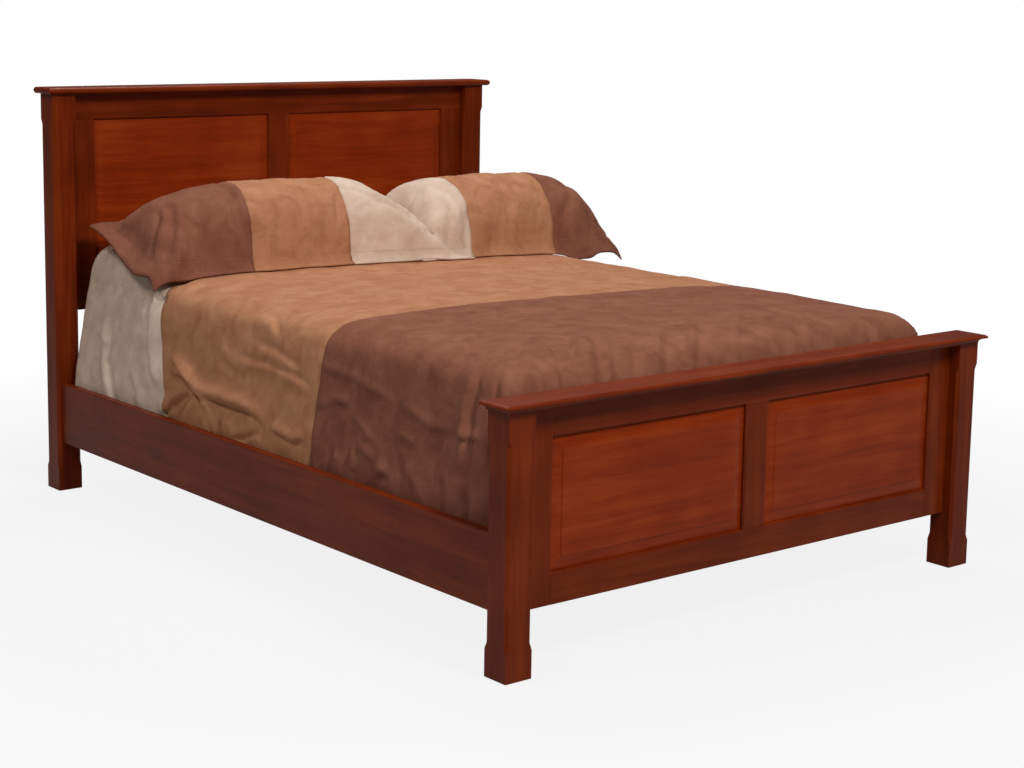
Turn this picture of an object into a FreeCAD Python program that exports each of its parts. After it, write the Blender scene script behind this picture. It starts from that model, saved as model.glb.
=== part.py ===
"""Panel bed: frame-and-panel head and foot boards, knock-down side rails, slats and bedding.

Millimetres. The origin is on the floor under the middle of the bed. +Z is up, +Y points to
the head end and +X to the right, seen from the foot end.
"""

import FreeCAD, Part
import math
import os

V = FreeCAD.Vector

# --- Bedding that the frame is built round ---------------------------------------------------
MATTRESS_HALF_WIDTH = 746.0
MATTRESS_HALF_LENGTH = 1016.0
MATTRESS_TOP = 699.7            # at the crown
MATTRESS_BOTTOM = 437.0
SIDE_LEAN = 36.0                # long sides lean in between hem and shoulder
SIDE_DROP = 58.0                # shoulder below the crown
SIDE_SHOULDER = 80.0            # width of the rounded shoulder
END_LEAN = 12.0
END_DROP = 75.0
END_SHOULDER = 76.0
END_CROWN = 6.0                 # the lengthwise outline's crown clears the crosswise one
SIDE_BULGE = 6.0                # sides belly out between hem and shoulder
CROWN_DROP = 14.0               # top falls this much from the middle to the shoulders
PLAN_CORNER = 100.0             # corners seen from above
FOUNDATION_SIDE_INSET = 6.0     # foundation inside the mattress
FOUNDATION_END_INSET = 8.0
SOFT_GAP = 0.3                  # flat soft pieces stay this clear of their neighbours
CURVED_GAP = 0.9                # and curved ones this much
COVER_THICKNESS = 16.0
COVER_HEM = 290.0               # floor to the hem, tucked down inside the rails
COVER_HEAD_INSET = 4.0          # the cover stops this far short of the mattress's head end
HEM_FLARE = 6.0
FOLD_RADIUS = 15.0              # the main folds, wide at the hem and dying out above
HEAD_PILLOW_TOP = 749.0         # flat pillows under the cover lift its head end
HEAD_PILLOW_LENGTH = 400.0      # along the bed
HEAD_PILLOW_INSET = 16.0        # from the mattress's head end
HEAD_PILLOW_SIDE_INSET = 40.0
HEAD_PILLOW_PARTING = 10.0      # between the two
SIDE_FOLD = (1076.0, 50.0, 600.0)           # from the head end, lean, top
SEAM_FAN = (766.0, 696.0, 626.0)            # folds by the cream seam, from the head end
SEAM_FAN_TOP = 440.0
SEAM_FAN_PULL = 110.0           # the fan gathers this far towards the head
SEAM_FAN_CLOSE = 0.65           # and closes up by this share
BROWN_SEAM = (1351.0, -0.0955)  # from the head end at the middle, and its slope across the bed
CREAM_SEAM = (541.0, 0.288)     # from the head end at the rail's top, and its lean with height

# --- Frame ----------------------------------------------------------------------------------
POST = 76.2
MATTRESS_END_ROOM = 25.5        # mattress to the posts' inner faces, along the bed
RAIL_THICKNESS = 25.4
RAIL_HEIGHT = 184.2
RAIL_BOTTOM = 152.8             # floor to the underside of the side rails
MATTRESS_SIDE_ROOM = 35.4       # mattress to the rail's inner face, for cover and hands
RAIL_SETBACK = 13.7             # rail's outer face behind the post's outer face
RAIL_EASING = 3.0
GLIDE_PROUD = 3.0
GLIDE_RADIUS = 16.0
CHAMFER = 8.0
CHAMFER_RUNOUT = 16.0
CHAMFER_START = 70.0            # floor to the lower stop
CHAMFER_STOP_FOOT = 57.0        # upper stop below the top of a foot post
CHAMFER_STOP_HEAD = 77.0        # upper stop below the top of a head post

# --- End boards ------------------------------------------------------------------------------
BOARD_THICKNESS = 25.4
BOARD_RECESS = 31.0             # board's front face behind the post's front face
STILE = 79.6
MULLION = 79.4
FOOT_POST_TOP = 620.4
FOOT_TOP_RAIL = 74.4
FOOT_BOTTOM_RAIL = 76.8
HEAD_POST_TOP = 1216.2
HEAD_TOP_RAIL = 81.0
HEAD_BOTTOM_RAIL = 130.0
HEAD_BOARD_BOTTOM = 554.0
STRETCHER_HEIGHT = 76.8
TENON_THICKNESS = 9.6
TENON_LENGTH = 30.0
TENON_SHOULDER = 9.0
TENON_GAP = 0.8                 # left at the blind end of a mortise
STUB_LENGTH = 18.0
TONGUE_DEPTH = 10.0             # stile's tongue in the post's groove
GROOVE_DEPTH = 11.0
GROOVE_WIDTH = 6.6
PANEL_TONGUE = 6.2
PANEL_FLOAT = 1.5               # room for the panel to swell in its groove
STICKING = 3.2                  # bevel round each opening
FIELD_MARGIN = 31.0             # opening's edge to the raised field
FIELD_STEP = 1.6
FIELD_DEPTH = 2.6               # field's face behind the board's face

# --- Caps ------------------------------------------------------------------------------------
FOOT_CAP_THICKNESS = 21.8
FOOT_CAP_FRONT = 18.0
FOOT_CAP_ENDS = 20.0
FOOT_CAP_BACK = 8.0
FOOT_CAP_BEVEL = 8.0            # width of the sloped band on top
FOOT_CAP_BEVEL_DROP = 5.4
FOOT_CAP_NOSE = 3.6
FOOT_CAP_STEP = 3.4             # return under the nose
FOOT_CAP_FILLET = 3.0           # square edge under the cove
HEAD_CAP_THICKNESS = 19.0
HEAD_CAP_FRONT = 19.0
HEAD_CAP_ENDS = 19.0
HEAD_CAP_BACK = 8.0
CAP_EASING = 2.0
DOWEL_RADIUS = 5.0
DOWEL_IN_POST = 25.0
DOWEL_IN_CAP = 10.0

# --- Knock-down rail fasteners ---------------------------------------------------------------
PLATE_LENGTH = 152.0
PLATE_WIDTH = 16.0
PLATE_THICKNESS = 3.0
HOOK_THICKNESS = 3.2
HOOK_REACH = 13.0
HOOK_TOP = 10.0                 # above the hook's own centre line
HOOK_NECK = 4.0                 # below it
HOOK_TONGUE = 14.0              # below it, behind the keeper plate
HOOK_PITCH = 70.0
HOOK_DROP = 10.5                # lift needed to free the rail
HOOK_GAP = 0.4

# --- Slats and centre support ----------------------------------------------------------------
LEDGER_WIDTH = 22.0
LEDGER_HEIGHT = 38.0
LEDGER_TOP = 214.4
LEDGER_END_GAP = 60.0
SLAT_COUNT = 12
SLAT_WIDTH = 88.0
SLAT_THICKNESS = 19.0
SLAT_EASING = 2.0
SLAT_END_GAP = 3.0
BEAM_WIDTH = 38.0
BEAM_HEIGHT = 60.0
HANGER_STEEL = 2.5
HANGER_FLANGE = 22.0
HANGER_DEPTH = 45.0
HANGER_HEIGHT = 40.0
LEG_SPACING = 660.0
LEG_CHEEK = 13.0
LEG_DEPTH = 46.0
LEG_SLOT = 34.0
LEG_CLEARANCE = 27.0            # floor to the leg's underside
BOLT_RADIUS = 4.0
BOLT_HEAD_RADIUS = 9.0          # across the corners of head and nut
BOLT_HEAD_HEIGHT = 5.0
STUD_RADIUS = 5.0
STUD_LENGTH = 46.0
STUD_CLEARANCE = 0.3
PAD_RADIUS = 19.0               # across the corners of the six-sided pad
PAD_HEIGHT = 9.0
LEVELLER_TRAVEL = 12.0

# --- Pillows ---------------------------------------------------------------------------------
PILLOW_DEPTH = 480.0
PILLOW_FLANGE = 48.0
PILLOW_FLANGE_THICKNESS = 6.0
PILLOW_CROWN = 166.0
PILLOW_TOP_CURVE = 16.0         # rise of the long top between its rounded ends
PILLOW_END = 150.0              # length of a rounded end
PILLOW_DRAW_IN = 22.0           # edges pulled in between the corners
PILLOW_TILT = 11.0              # degrees, back edge up
PILLOW_LEFT = (-317.0, 321.0, 65.9, -8.0, 906.0)    # x, from the head end, over the crown, turn, length
PILLOW_RIGHT = (505.0, 416.0, 65.4, -3.0, 680.0)
PILLOW_LEFT_SEAMS = (-99.0, 224.0)              # along the pillow, from its middle
PILLOW_RIGHT_SEAMS = (-205.0, 127.0)

# --- Worked out from the values above --------------------------------------------------------
HEAD_END = MATTRESS_HALF_LENGTH
RAIL_SPAN = 2 * (MATTRESS_HALF_LENGTH + MATTRESS_END_ROOM)     # between the posts
RAIL_INSIDE = MATTRESS_HALF_WIDTH + MATTRESS_SIDE_ROOM         # middle of the bed to the rail
PAST_IT_ALL = 2 * (RAIL_SPAN + POST)                           # size of the blocks that cut
HEAD_PILLOW_END = HEAD_END - HEAD_PILLOW_INSET
HEAD_PILLOW_START = HEAD_PILLOW_END - HEAD_PILLOW_LENGTH
HEAD_PILLOW_HALF_WIDTH = MATTRESS_HALF_WIDTH - HEAD_PILLOW_SIDE_INSET
RAIL_OUTSIDE = RAIL_INSIDE + RAIL_THICKNESS
RAIL_MIDDLE = RAIL_INSIDE + RAIL_THICKNESS / 2
RAIL_TOP = RAIL_BOTTOM + RAIL_HEIGHT
POST_OUT = RAIL_OUTSIDE + RAIL_SETBACK
POST_IN = POST_OUT - POST
END_IN = RAIL_SPAN / 2
END_OUT = END_IN + POST
FOOT_FACE = BOARD_RECESS - END_OUT      # front faces of the two boards, along Y
HEAD_FACE = END_IN + BOARD_RECESS
FOOT_BOARD_BOTTOM = RAIL_BOTTOM
FOOT_OPENING = (FOOT_BOARD_BOTTOM + FOOT_BOTTOM_RAIL, FOOT_POST_TOP - FOOT_TOP_RAIL)
HEAD_OPENING = (HEAD_BOARD_BOTTOM + HEAD_BOTTOM_RAIL, HEAD_POST_TOP - HEAD_TOP_RAIL)
OPENING_X = (MULLION / 2, POST_IN - STILE)
SLAT_TOP = LEDGER_TOP + SLAT_THICKNESS
LEDGER_REACH = END_IN - LEDGER_END_GAP
SLAT_FIRST = LEDGER_REACH - SLAT_WIDTH / 2      # first and last slat from the middle
FOUNDATION_BOTTOM = SLAT_TOP + SOFT_GAP
FOUNDATION_TOP = MATTRESS_BOTTOM - SOFT_GAP
BEAM_BOTTOM = LEDGER_TOP - BEAM_HEIGHT
LEG_WIDTH = BEAM_WIDTH + 2 * LEG_CHEEK
HOOK_PLATE_Z = RAIL_BOTTOM + RAIL_HEIGHT / 2


# --- Small helpers ---------------------------------------------------------------------------
def box(x, y, z):
    """A block from three (low, high) pairs, in either order."""
    (x0, x1), (y0, y1), (z0, z1) = sorted(x), sorted(y), sorted(z)
    return Part.makeBox(x1 - x0, y1 - y0, z1 - z0, V(x0, y0, z0))


def join(shapes):
    """One solid from several that touch or overlap."""
    whole = shapes[0]
    for shape in shapes[1:]:
        whole = whole.fuse(shape)
    return whole.removeSplitter()


def mirrored(shape):
    """The same piece on the other side of the bed."""
    return shape.mirror(V(0, 0, 0), V(1, 0, 0))


def rod(radius, length, base, direction):
    return Part.makeCylinder(radius, length, base, direction)


def prism(edges, direction):
    """Extrudes a closed outline of edges."""
    return Part.Face(Part.Wire(edges)).extrude(direction)


def polygon(points):
    return Part.makePolygon(points + [points[0]]).Edges


def arc(start, middle, end):
    return Part.Arc(start, middle, end).toShape()


def line(start, end):
    return Part.LineSegment(start, end).toShape()


def export(name, shape):
    """Writes one node; a list is a group of like pieces."""
    if isinstance(shape, list):
        shape = Part.makeCompound(shape)
    elif len(shape.Solids) == 1:
        shape = shape.Solids[0]
    shape.exportStep(f"parts/{name}.step")


# --- Posts -----------------------------------------------------------------------------------
def diamond(x, y, z, reach):
    points = [V(x + reach, y, z), V(x, y + reach, z), V(x - reach, y, z), V(x, y - reach, z)]
    return Part.Wire(polygon(points))


def chamfer_cutter(x, y, low, high):
    """A chamfer that dies out at both ends, cut along one vertical corner."""
    stations = (
        (low, 0.05),
        (low + CHAMFER_RUNOUT, CHAMFER),
        (high - CHAMFER_RUNOUT, CHAMFER),
        (high, 0.05),
    )
    return Part.makeLoft([diamond(x, y, z, reach) for z, reach in stations], True, True)


def post(end, top, chamfer_stop):
    """A right-hand post; end is -1 at the foot and +1 at the head."""
    near, far = end * END_IN, end * END_OUT
    body = box((POST_IN, POST_OUT), (near, far), (GLIDE_PROUD, top))
    for x in (POST_IN, POST_OUT):
        for y in (near, far):
            body = body.cut(chamfer_cutter(x, y, CHAMFER_START, top - chamfer_stop))
    body = body.cut(rod(DOWEL_RADIUS, DOWEL_IN_POST, dowel_place(end, top), V(0, 0, -1)))
    return body.cut(keeper_pocket(end))


def dowel_place(end, top):
    return V(POST_OUT - POST / 2, end * (END_IN + POST / 2), top)


def glide(end):
    """A tack glide: a low steel dome under the post."""
    place = dowel_place(end, 0.0)
    return Part.makeCone(GLIDE_RADIUS - GLIDE_PROUD, GLIDE_RADIUS, GLIDE_PROUD, place)


def cap_dowel(end, top):
    start = dowel_place(end, top - DOWEL_IN_POST)
    return rod(DOWEL_RADIUS, DOWEL_IN_POST + DOWEL_IN_CAP, start, V(0, 0, 1))


# --- Caps ------------------------------------------------------------------------------------
def foot_cap_edge(at, inward, bottom):
    """The moulded edge, from the underside up: fillet, cove, nose and sloped band.

    at(u, z) gives the point that lies u inside the nose, and inward is the cap's flush line.
    """
    top = bottom + FOOT_CAP_THICKNESS
    nose_top = top - FOOT_CAP_BEVEL_DROP
    nose_low = nose_top - FOOT_CAP_NOSE
    cove_top = nose_low - 1.0
    cove_low = bottom + FOOT_CAP_FILLET
    cove_middle = at(
        FOOT_CAP_STEP + (inward - FOOT_CAP_STEP) * 0.72,
        cove_low + (cove_top - cove_low) * 0.62,
    )
    band_middle = at(FOOT_CAP_BEVEL * 0.42, nose_top + FOOT_CAP_BEVEL_DROP * 0.58)
    return [
        line(at(inward, bottom), at(inward, cove_low)),
        arc(at(inward, cove_low), cove_middle, at(FOOT_CAP_STEP, cove_top)),
        line(at(FOOT_CAP_STEP, cove_top), at(0, nose_low)),
        line(at(0, nose_low), at(0, nose_top)),
        arc(at(0, nose_top), band_middle, at(FOOT_CAP_BEVEL, top)),
    ]


def foot_cap():
    """Two moulded extrusions meet in a common solid, which mitres the front corners."""
    bottom, top = FOOT_POST_TOP, FOOT_POST_TOP + FOOT_CAP_THICKNESS
    front, back = -END_OUT - FOOT_CAP_FRONT, -END_IN + FOOT_CAP_BACK
    side = POST_OUT + FOOT_CAP_ENDS
    along = foot_cap_edge(lambda u, z: V(-side, front + u, z), FOOT_CAP_FRONT - 0.5, bottom)
    along += [
        line(V(-side, front + FOOT_CAP_BEVEL, top), V(-side, back - CAP_EASING, top)),
        line(V(-side, back - CAP_EASING, top), V(-side, back, top - CAP_EASING)),
        line(V(-side, back, top - CAP_EASING), V(-side, back, bottom)),
        line(V(-side, back, bottom), V(-side, front + FOOT_CAP_FRONT - 0.5, bottom)),
    ]
    left = foot_cap_edge(lambda u, z: V(-side + u, front, z), FOOT_CAP_ENDS - 0.5, bottom)
    right = foot_cap_edge(lambda u, z: V(side - u, front, z), FOOT_CAP_ENDS - 0.5, bottom)
    flush = side - FOOT_CAP_ENDS + 0.5
    across = left + right + [
        line(V(-side + FOOT_CAP_BEVEL, front, top), V(side - FOOT_CAP_BEVEL, front, top)),
        line(V(-flush, front, bottom), V(flush, front, bottom)),
    ]
    board = prism(Part.__sortEdges__(along), V(2 * side, 0, 0))
    ends = prism(Part.__sortEdges__(across), V(0, back - front, 0))
    return drilled_cap(board.common(ends), -1, FOOT_POST_TOP)


def head_cap():
    """A board with a bullnose on its front and ends, again from two extrusions."""
    bottom, top = HEAD_POST_TOP, HEAD_POST_TOP + HEAD_CAP_THICKNESS
    nose = HEAD_CAP_THICKNESS / 2
    front, back = END_IN - HEAD_CAP_FRONT, END_OUT + HEAD_CAP_BACK
    side = POST_OUT + HEAD_CAP_ENDS
    middle = (bottom + top) / 2
    soft = nose * (1 - math.sqrt(0.5))

    def bullnose(at):
        return [
            arc(at(nose, bottom), at(soft, middle - nose * math.sqrt(0.5)), at(0, middle)),
            arc(at(0, middle), at(soft, middle + nose * math.sqrt(0.5)), at(nose, top)),
        ]

    along = bullnose(lambda u, z: V(-side, front + u, z)) + [
        line(V(-side, front + nose, top), V(-side, back - CAP_EASING, top)),
        line(V(-side, back - CAP_EASING, top), V(-side, back, top - CAP_EASING)),
        line(V(-side, back, top - CAP_EASING), V(-side, back, bottom)),
        line(V(-side, back, bottom), V(-side, front + nose, bottom)),
    ]
    across = bullnose(lambda u, z: V(-side + u, front, z)) + bullnose(
        lambda u, z: V(side - u, front, z)
    )
    across += [
        line(V(-side + nose, front, top), V(side - nose, front, top)),
        line(V(-side + nose, front, bottom), V(side - nose, front, bottom)),
    ]
    board = prism(Part.__sortEdges__(along), V(2 * side, 0, 0))
    ends = prism(Part.__sortEdges__(across), V(0, back - front, 0))
    return drilled_cap(board.common(ends), 1, HEAD_POST_TOP)


def drilled_cap(cap, end, bottom):
    """Blind holes in the underside for the dowels in the two post tops."""
    place = dowel_place(end, bottom)
    for x in (place.x, -place.x):
        cap = cap.cut(rod(DOWEL_RADIUS, DOWEL_IN_CAP, V(x, place.y, bottom), V(0, 0, 1)))
    return cap


# --- End boards ------------------------------------------------------------------------------
def board_span(face):
    """Front and back of a board whose front face is at y = face."""
    return (face, face + BOARD_THICKNESS)


def centred(face, thickness):
    middle = face + BOARD_THICKNESS / 2
    return (middle - thickness / 2, middle + thickness / 2)


def opening_bevel(face, sides, opening):
    """The bevel round one opening, mitred in its corners."""
    (x0, x1), (z0, z1) = sides, opening

    def ring(y, grow):
        a, b, c, d = x0 - grow, x1 + grow, z0 - grow, z1 + grow
        return Part.Wire(polygon([V(a, y, c), V(b, y, c), V(b, y, d), V(a, y, d)]))

    return Part.makeLoft([ring(face - 1.0, STICKING + 1.0), ring(face + STICKING, 0.0)], True, True)


def panel_groove(face, sides, opening):
    (x0, x1), (z0, z1) = sides, opening
    deep = GROOVE_DEPTH
    return box((x0 - deep, x1 + deep), centred(face, GROOVE_WIDTH), (z0 - deep, z1 + deep))


def both_openings(opening):
    x0, x1 = OPENING_X
    return [((-x1, -x0), opening), ((x0, x1), opening)]


def dress(piece, face, opening):
    """Cuts the panel grooves and the opening bevels that cross a member."""
    for sides, height in both_openings(opening):
        piece = piece.cut(panel_groove(face, sides, height))
        piece = piece.cut(opening_bevel(face, sides, height))
    return piece


def rail(face, reach, height, tenon):
    """A rail from -reach to +reach with a tenon at each end."""
    low, high = height
    body = box((-reach, reach), board_span(face), height)
    tenons = box(
        (-reach - tenon, reach + tenon),
        centred(face, TENON_THICKNESS),
        (low + TENON_SHOULDER, high - TENON_SHOULDER),
    )
    return join([body, tenons])


def tenon_room(face, edge, height, tenon):
    """The mortises that take a rail's two tenons."""
    low, high = height
    reach = edge + tenon + TENON_GAP
    return box(
        (-reach, reach),
        centred(face, TENON_THICKNESS),
        (low + TENON_SHOULDER, high - TENON_SHOULDER),
    )


def mullion(face, opening):
    """The upright between the panels, with stub tenons into both rails."""
    half = MULLION / 2
    low, high = opening
    body = box((-half, half), board_span(face), opening)
    stubs = box(
        (TENON_SHOULDER - half, half - TENON_SHOULDER),
        centred(face, TENON_THICKNESS),
        (low - STUB_LENGTH, high + STUB_LENGTH),
    )
    return dress(join([body, stubs]), face, opening)


def mullion_room(face, opening):
    half = MULLION / 2
    low, high = opening
    return box(
        (TENON_SHOULDER - half, half - TENON_SHOULDER),
        centred(face, TENON_THICKNESS),
        (low - STUB_LENGTH - TENON_GAP, high + STUB_LENGTH + TENON_GAP),
    )


def raised_panel(face, opening):
    """The right-hand panel: a tongue all round, a sloped bevel and a raised field."""
    x0, x1 = OPENING_X
    z0, z1 = opening
    tongue_y = centred(face, PANEL_TONGUE)
    grow = GROOVE_DEPTH - PANEL_FLOAT
    tongue = box((x0 - grow, x1 + grow), tongue_y, (z0 - grow, z1 + grow))

    def ring(y, inset):
        a, b, c, d = x0 + inset, x1 - inset, z0 + inset, z1 - inset
        return Part.Wire(polygon([V(a, y, c), V(b, y, c), V(b, y, d), V(a, y, d)]))

    shoulder = face + FIELD_DEPTH + FIELD_STEP
    slope = Part.makeLoft(
        [ring(tongue_y[0], 0.6), ring(shoulder, FIELD_MARGIN - 1.0)],
        True,
        True,
    )
    field = box(
        (x0 + FIELD_MARGIN, x1 - FIELD_MARGIN),
        (face + FIELD_DEPTH, tongue_y[0]),
        (z0 + FIELD_MARGIN, z1 - FIELD_MARGIN),
    )
    return join([tongue, slope, field])


def foot_board():
    """Stiles run full height; the rails are tenoned between them."""
    face, opening = FOOT_FACE, FOOT_OPENING
    inner = POST_IN - STILE
    top = (opening[1], FOOT_POST_TOP)
    bottom = (FOOT_BOARD_BOTTOM, opening[0])
    height = (FOOT_BOARD_BOTTOM, FOOT_POST_TOP)
    stile = join(
        [
            box((inner, POST_IN), board_span(face), height),
            box((POST_IN, POST_IN + TONGUE_DEPTH), centred(face, TENON_THICKNESS), height),
        ]
    )
    for span in (top, bottom):
        stile = stile.cut(tenon_room(face, inner, span, TENON_LENGTH))
    rails = [
        dress(rail(face, inner, span, TENON_LENGTH), face, opening).cut(
            mullion_room(face, opening)
        )
        for span in (top, bottom)
    ]
    return {
        "foot_stile_right": dress(stile, face, opening),
        "foot_top_rail": rails[0],
        "foot_bottom_rail": rails[1],
        "foot_mullion": mullion(face, opening),
        "foot_panel_right": raised_panel(face, opening),
    }


def foot_post_groove():
    """Takes the stile's tongue; it is open at the top, under the cap."""
    return box(
        (POST_IN, POST_IN + TONGUE_DEPTH + TENON_GAP),
        centred(FOOT_FACE, TENON_THICKNESS),
        (FOOT_BOARD_BOTTOM, FOOT_POST_TOP),
    )


def head_board():
    """Rails run post to post; the stiles stand between them."""
    face, opening = HEAD_FACE, HEAD_OPENING
    top = (opening[1], HEAD_POST_TOP)
    bottom = (HEAD_BOARD_BOTTOM, opening[0])
    inner = POST_IN - STILE
    stile_tenon = (inner + TENON_SHOULDER, POST_IN - TENON_SHOULDER)
    stile = join(
        [
            box((inner, POST_IN), board_span(face), opening),
            box(
                stile_tenon,
                centred(face, TENON_THICKNESS),
                (opening[0] - STUB_LENGTH, opening[1] + STUB_LENGTH),
            ),
        ]
    )
    stile_room = box(
        stile_tenon,
        centred(face, TENON_THICKNESS),
        (opening[0] - STUB_LENGTH - TENON_GAP, opening[1] + STUB_LENGTH + TENON_GAP),
    )
    rails = []
    for span in (top, bottom):
        piece = dress(rail(face, POST_IN, span, TENON_LENGTH), face, opening)
        for room in (mullion_room(face, opening), stile_room, mirrored(stile_room)):
            piece = piece.cut(room)
        rails.append(piece)
    return {
        "head_stile_right": dress(stile, face, opening),
        "head_top_rail": rails[0],
        "head_bottom_rail": rails[1],
        "head_mullion": mullion(face, opening),
        "head_panel_right": raised_panel(face, opening),
    }


def stretcher():
    """The low rail between the head posts; it carries the head end of the beam."""
    span = (RAIL_BOTTOM, RAIL_BOTTOM + STRETCHER_HEIGHT)
    return rail(HEAD_FACE, POST_IN, span, TENON_LENGTH)


def head_post_mortises():
    room = None
    for low, high in (
        (HEAD_OPENING[1], HEAD_POST_TOP),
        (HEAD_BOARD_BOTTOM, HEAD_OPENING[0]),
        (RAIL_BOTTOM, RAIL_BOTTOM + STRETCHER_HEIGHT),
    ):
        cut = tenon_room(HEAD_FACE, POST_IN, (low, high), TENON_LENGTH)
        room = cut if room is None else room.fuse(cut)
    return room


# --- Side rails and their fasteners ----------------------------------------------------------
def plate_block(end, into_post):
    depth = PLATE_THICKNESS if into_post else -PLATE_THICKNESS
    return box(
        (RAIL_MIDDLE - PLATE_WIDTH / 2, RAIL_MIDDLE + PLATE_WIDTH / 2),
        (end * END_IN, end * (END_IN + depth)),
        (HOOK_PLATE_Z - PLATE_LENGTH / 2, HOOK_PLATE_Z + PLATE_LENGTH / 2),
    )


def hook(end, centre):
    """One hook: its neck crosses the keeper plate and its tongue hangs behind it."""
    x = RAIL_MIDDLE - HOOK_THICKNESS / 2

    def at(out, up):
        return V(x, end * (END_IN + out), centre + up)

    behind = PLATE_THICKNESS + HOOK_GAP
    outline = [
        at(-PLATE_THICKNESS, HOOK_TOP),
        at(HOOK_REACH - 3.0, HOOK_TOP),
        at(HOOK_REACH, HOOK_TOP - 3.0),
        at(HOOK_REACH, -HOOK_TONGUE),
        at(behind + 2.0, -HOOK_TONGUE),
        at(behind, -HOOK_TONGUE + 4.0),
        at(behind, -HOOK_NECK),
        at(-PLATE_THICKNESS, -HOOK_NECK),
    ]
    return prism(polygon(outline), V(HOOK_THICKNESS, 0, 0))


def hook_centres():
    return (HOOK_PLATE_Z - HOOK_PITCH / 2, HOOK_PLATE_Z + HOOK_PITCH / 2)


def hook_plate(end):
    """Let into the rail's end, with two hooks."""
    return join([plate_block(end, False)] + [hook(end, centre) for centre in hook_centres()])


def hook_room(end, centre, depth):
    """Space for a hook to enter high and drop into place."""
    side = HOOK_THICKNESS / 2 + HOOK_GAP
    return box(
        (RAIL_MIDDLE - side, RAIL_MIDDLE + side),
        (end * END_IN, end * (END_IN + depth)),
        (centre - HOOK_NECK - HOOK_GAP, centre + HOOK_TOP + HOOK_DROP),
    )


def keeper_plate(end):
    """Let into the post, with a slot for each hook."""
    plate = plate_block(end, True)
    for centre in hook_centres():
        plate = plate.cut(hook_room(end, centre, PLATE_THICKNESS))
    return plate


def keeper_pocket(end):
    """What the post loses to the keeper plate and the hooks behind it."""
    side = HOOK_THICKNESS / 2 + HOOK_GAP
    pocket = plate_block(end, True)
    for centre in hook_centres():
        pocket = pocket.fuse(
            box(
                (RAIL_MIDDLE - side, RAIL_MIDDLE + side),
                (end * END_IN, end * (END_IN + HOOK_REACH + 1.0)),
                (centre - HOOK_TONGUE - 1.0, centre + HOOK_TOP + HOOK_DROP),
            )
        )
    return pocket


def side_rail():
    """The right-hand side rail, eased along its four edges."""
    body = box((RAIL_INSIDE, RAIL_OUTSIDE), (-END_IN, END_IN), (RAIL_BOTTOM, RAIL_TOP))
    long_edges = [edge for edge in body.Edges if edge.Length > RAIL_SPAN - 1.0]
    body = body.makeFillet(RAIL_EASING, long_edges)
    for end in (-1, 1):
        body = body.cut(plate_block(end, False))
    return body


def ledger():
    """The strip inside the rail that carries the slats."""
    across = (RAIL_INSIDE - LEDGER_WIDTH, RAIL_INSIDE)
    return box(across, (-LEDGER_REACH, LEDGER_REACH), (LEDGER_TOP - LEDGER_HEIGHT, LEDGER_TOP))


# --- Slats and centre support ----------------------------------------------------------------
def slats():
    reach = RAIL_INSIDE - SLAT_END_GAP
    step = 2 * SLAT_FIRST / (SLAT_COUNT - 1)
    first = box(
        (-reach, reach),
        (-SLAT_FIRST - SLAT_WIDTH / 2, -SLAT_FIRST + SLAT_WIDTH / 2),
        (LEDGER_TOP, SLAT_TOP),
    )
    long_edges = [edge for edge in first.Edges if edge.Length > 2 * reach - 1.0]
    first = first.makeChamfer(SLAT_EASING, long_edges)
    copies = []
    for index in range(SLAT_COUNT):
        slat = first.copy()
        slat.translate(V(0, index * step, 0))
        copies.append(slat)
    return copies


def beam_ends():
    """Faces that the beam runs between: the foot rail's back and the stretcher's front."""
    return FOOT_FACE + BOARD_THICKNESS, HEAD_FACE


def centre_beam():
    low, high = beam_ends()
    half = BEAM_WIDTH / 2
    span = (low + HANGER_STEEL, high - HANGER_STEEL)
    body = box((-half, half), span, (BEAM_BOTTOM, LEDGER_TOP))
    for bolt in leg_bolts():
        body = body.cut(bolt)
    return body


def hanger(end):
    """A steel stirrup: back plate with side flanges, a seat and two cheeks."""
    face = beam_ends()[0 if end < 0 else 1]
    half = BEAM_WIDTH / 2
    outer = half + HANGER_STEEL
    low = BEAM_BOTTOM - HANGER_STEEL
    high = BEAM_BOTTOM + HANGER_HEIGHT
    back = (face, face - end * HANGER_STEEL)
    reach = (face, face - end * HANGER_DEPTH)
    plate = box((-outer - HANGER_FLANGE, outer + HANGER_FLANGE), back, (low, high))
    seat = box((-outer, outer), reach, (low, BEAM_BOTTOM))
    cheeks = [box((side * half, side * outer), reach, (low, high)) for side in (-1, 1)]
    return join([plate, seat] + cheeks)


def leg_places():
    return (-LEG_SPACING, 0.0, LEG_SPACING)


def centre_leg(y):
    """A leg whose open slot straddles the beam."""
    half, deep = LEG_WIDTH / 2, LEG_DEPTH / 2
    body = box((-half, half), (y - deep, y + deep), (LEG_CLEARANCE, BEAM_BOTTOM + LEG_SLOT))
    slot = box(
        (-BEAM_WIDTH / 2, BEAM_WIDTH / 2),
        (y - deep, y + deep),
        (BEAM_BOTTOM, BEAM_BOTTOM + LEG_SLOT),
    )
    stud_room = rod(
        STUD_RADIUS + STUD_CLEARANCE,
        STUD_LENGTH + LEVELLER_TRAVEL - (LEG_CLEARANCE - PAD_HEIGHT) + 2.0,
        V(0, y, LEG_CLEARANCE),
        V(0, 0, 1),
    )
    return body.cut(slot).cut(stud_room).cut(leg_bolt(y))


def hexagon(centre, radius, across, up):
    """A six-sided outline round centre, from two directions at right angles."""
    corners = []
    for step in range(6):
        angle = math.radians(60 * step)
        corners.append(centre + across * (radius * math.cos(angle)) + up * (radius * math.sin(angle)))
    return polygon(corners)


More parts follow.
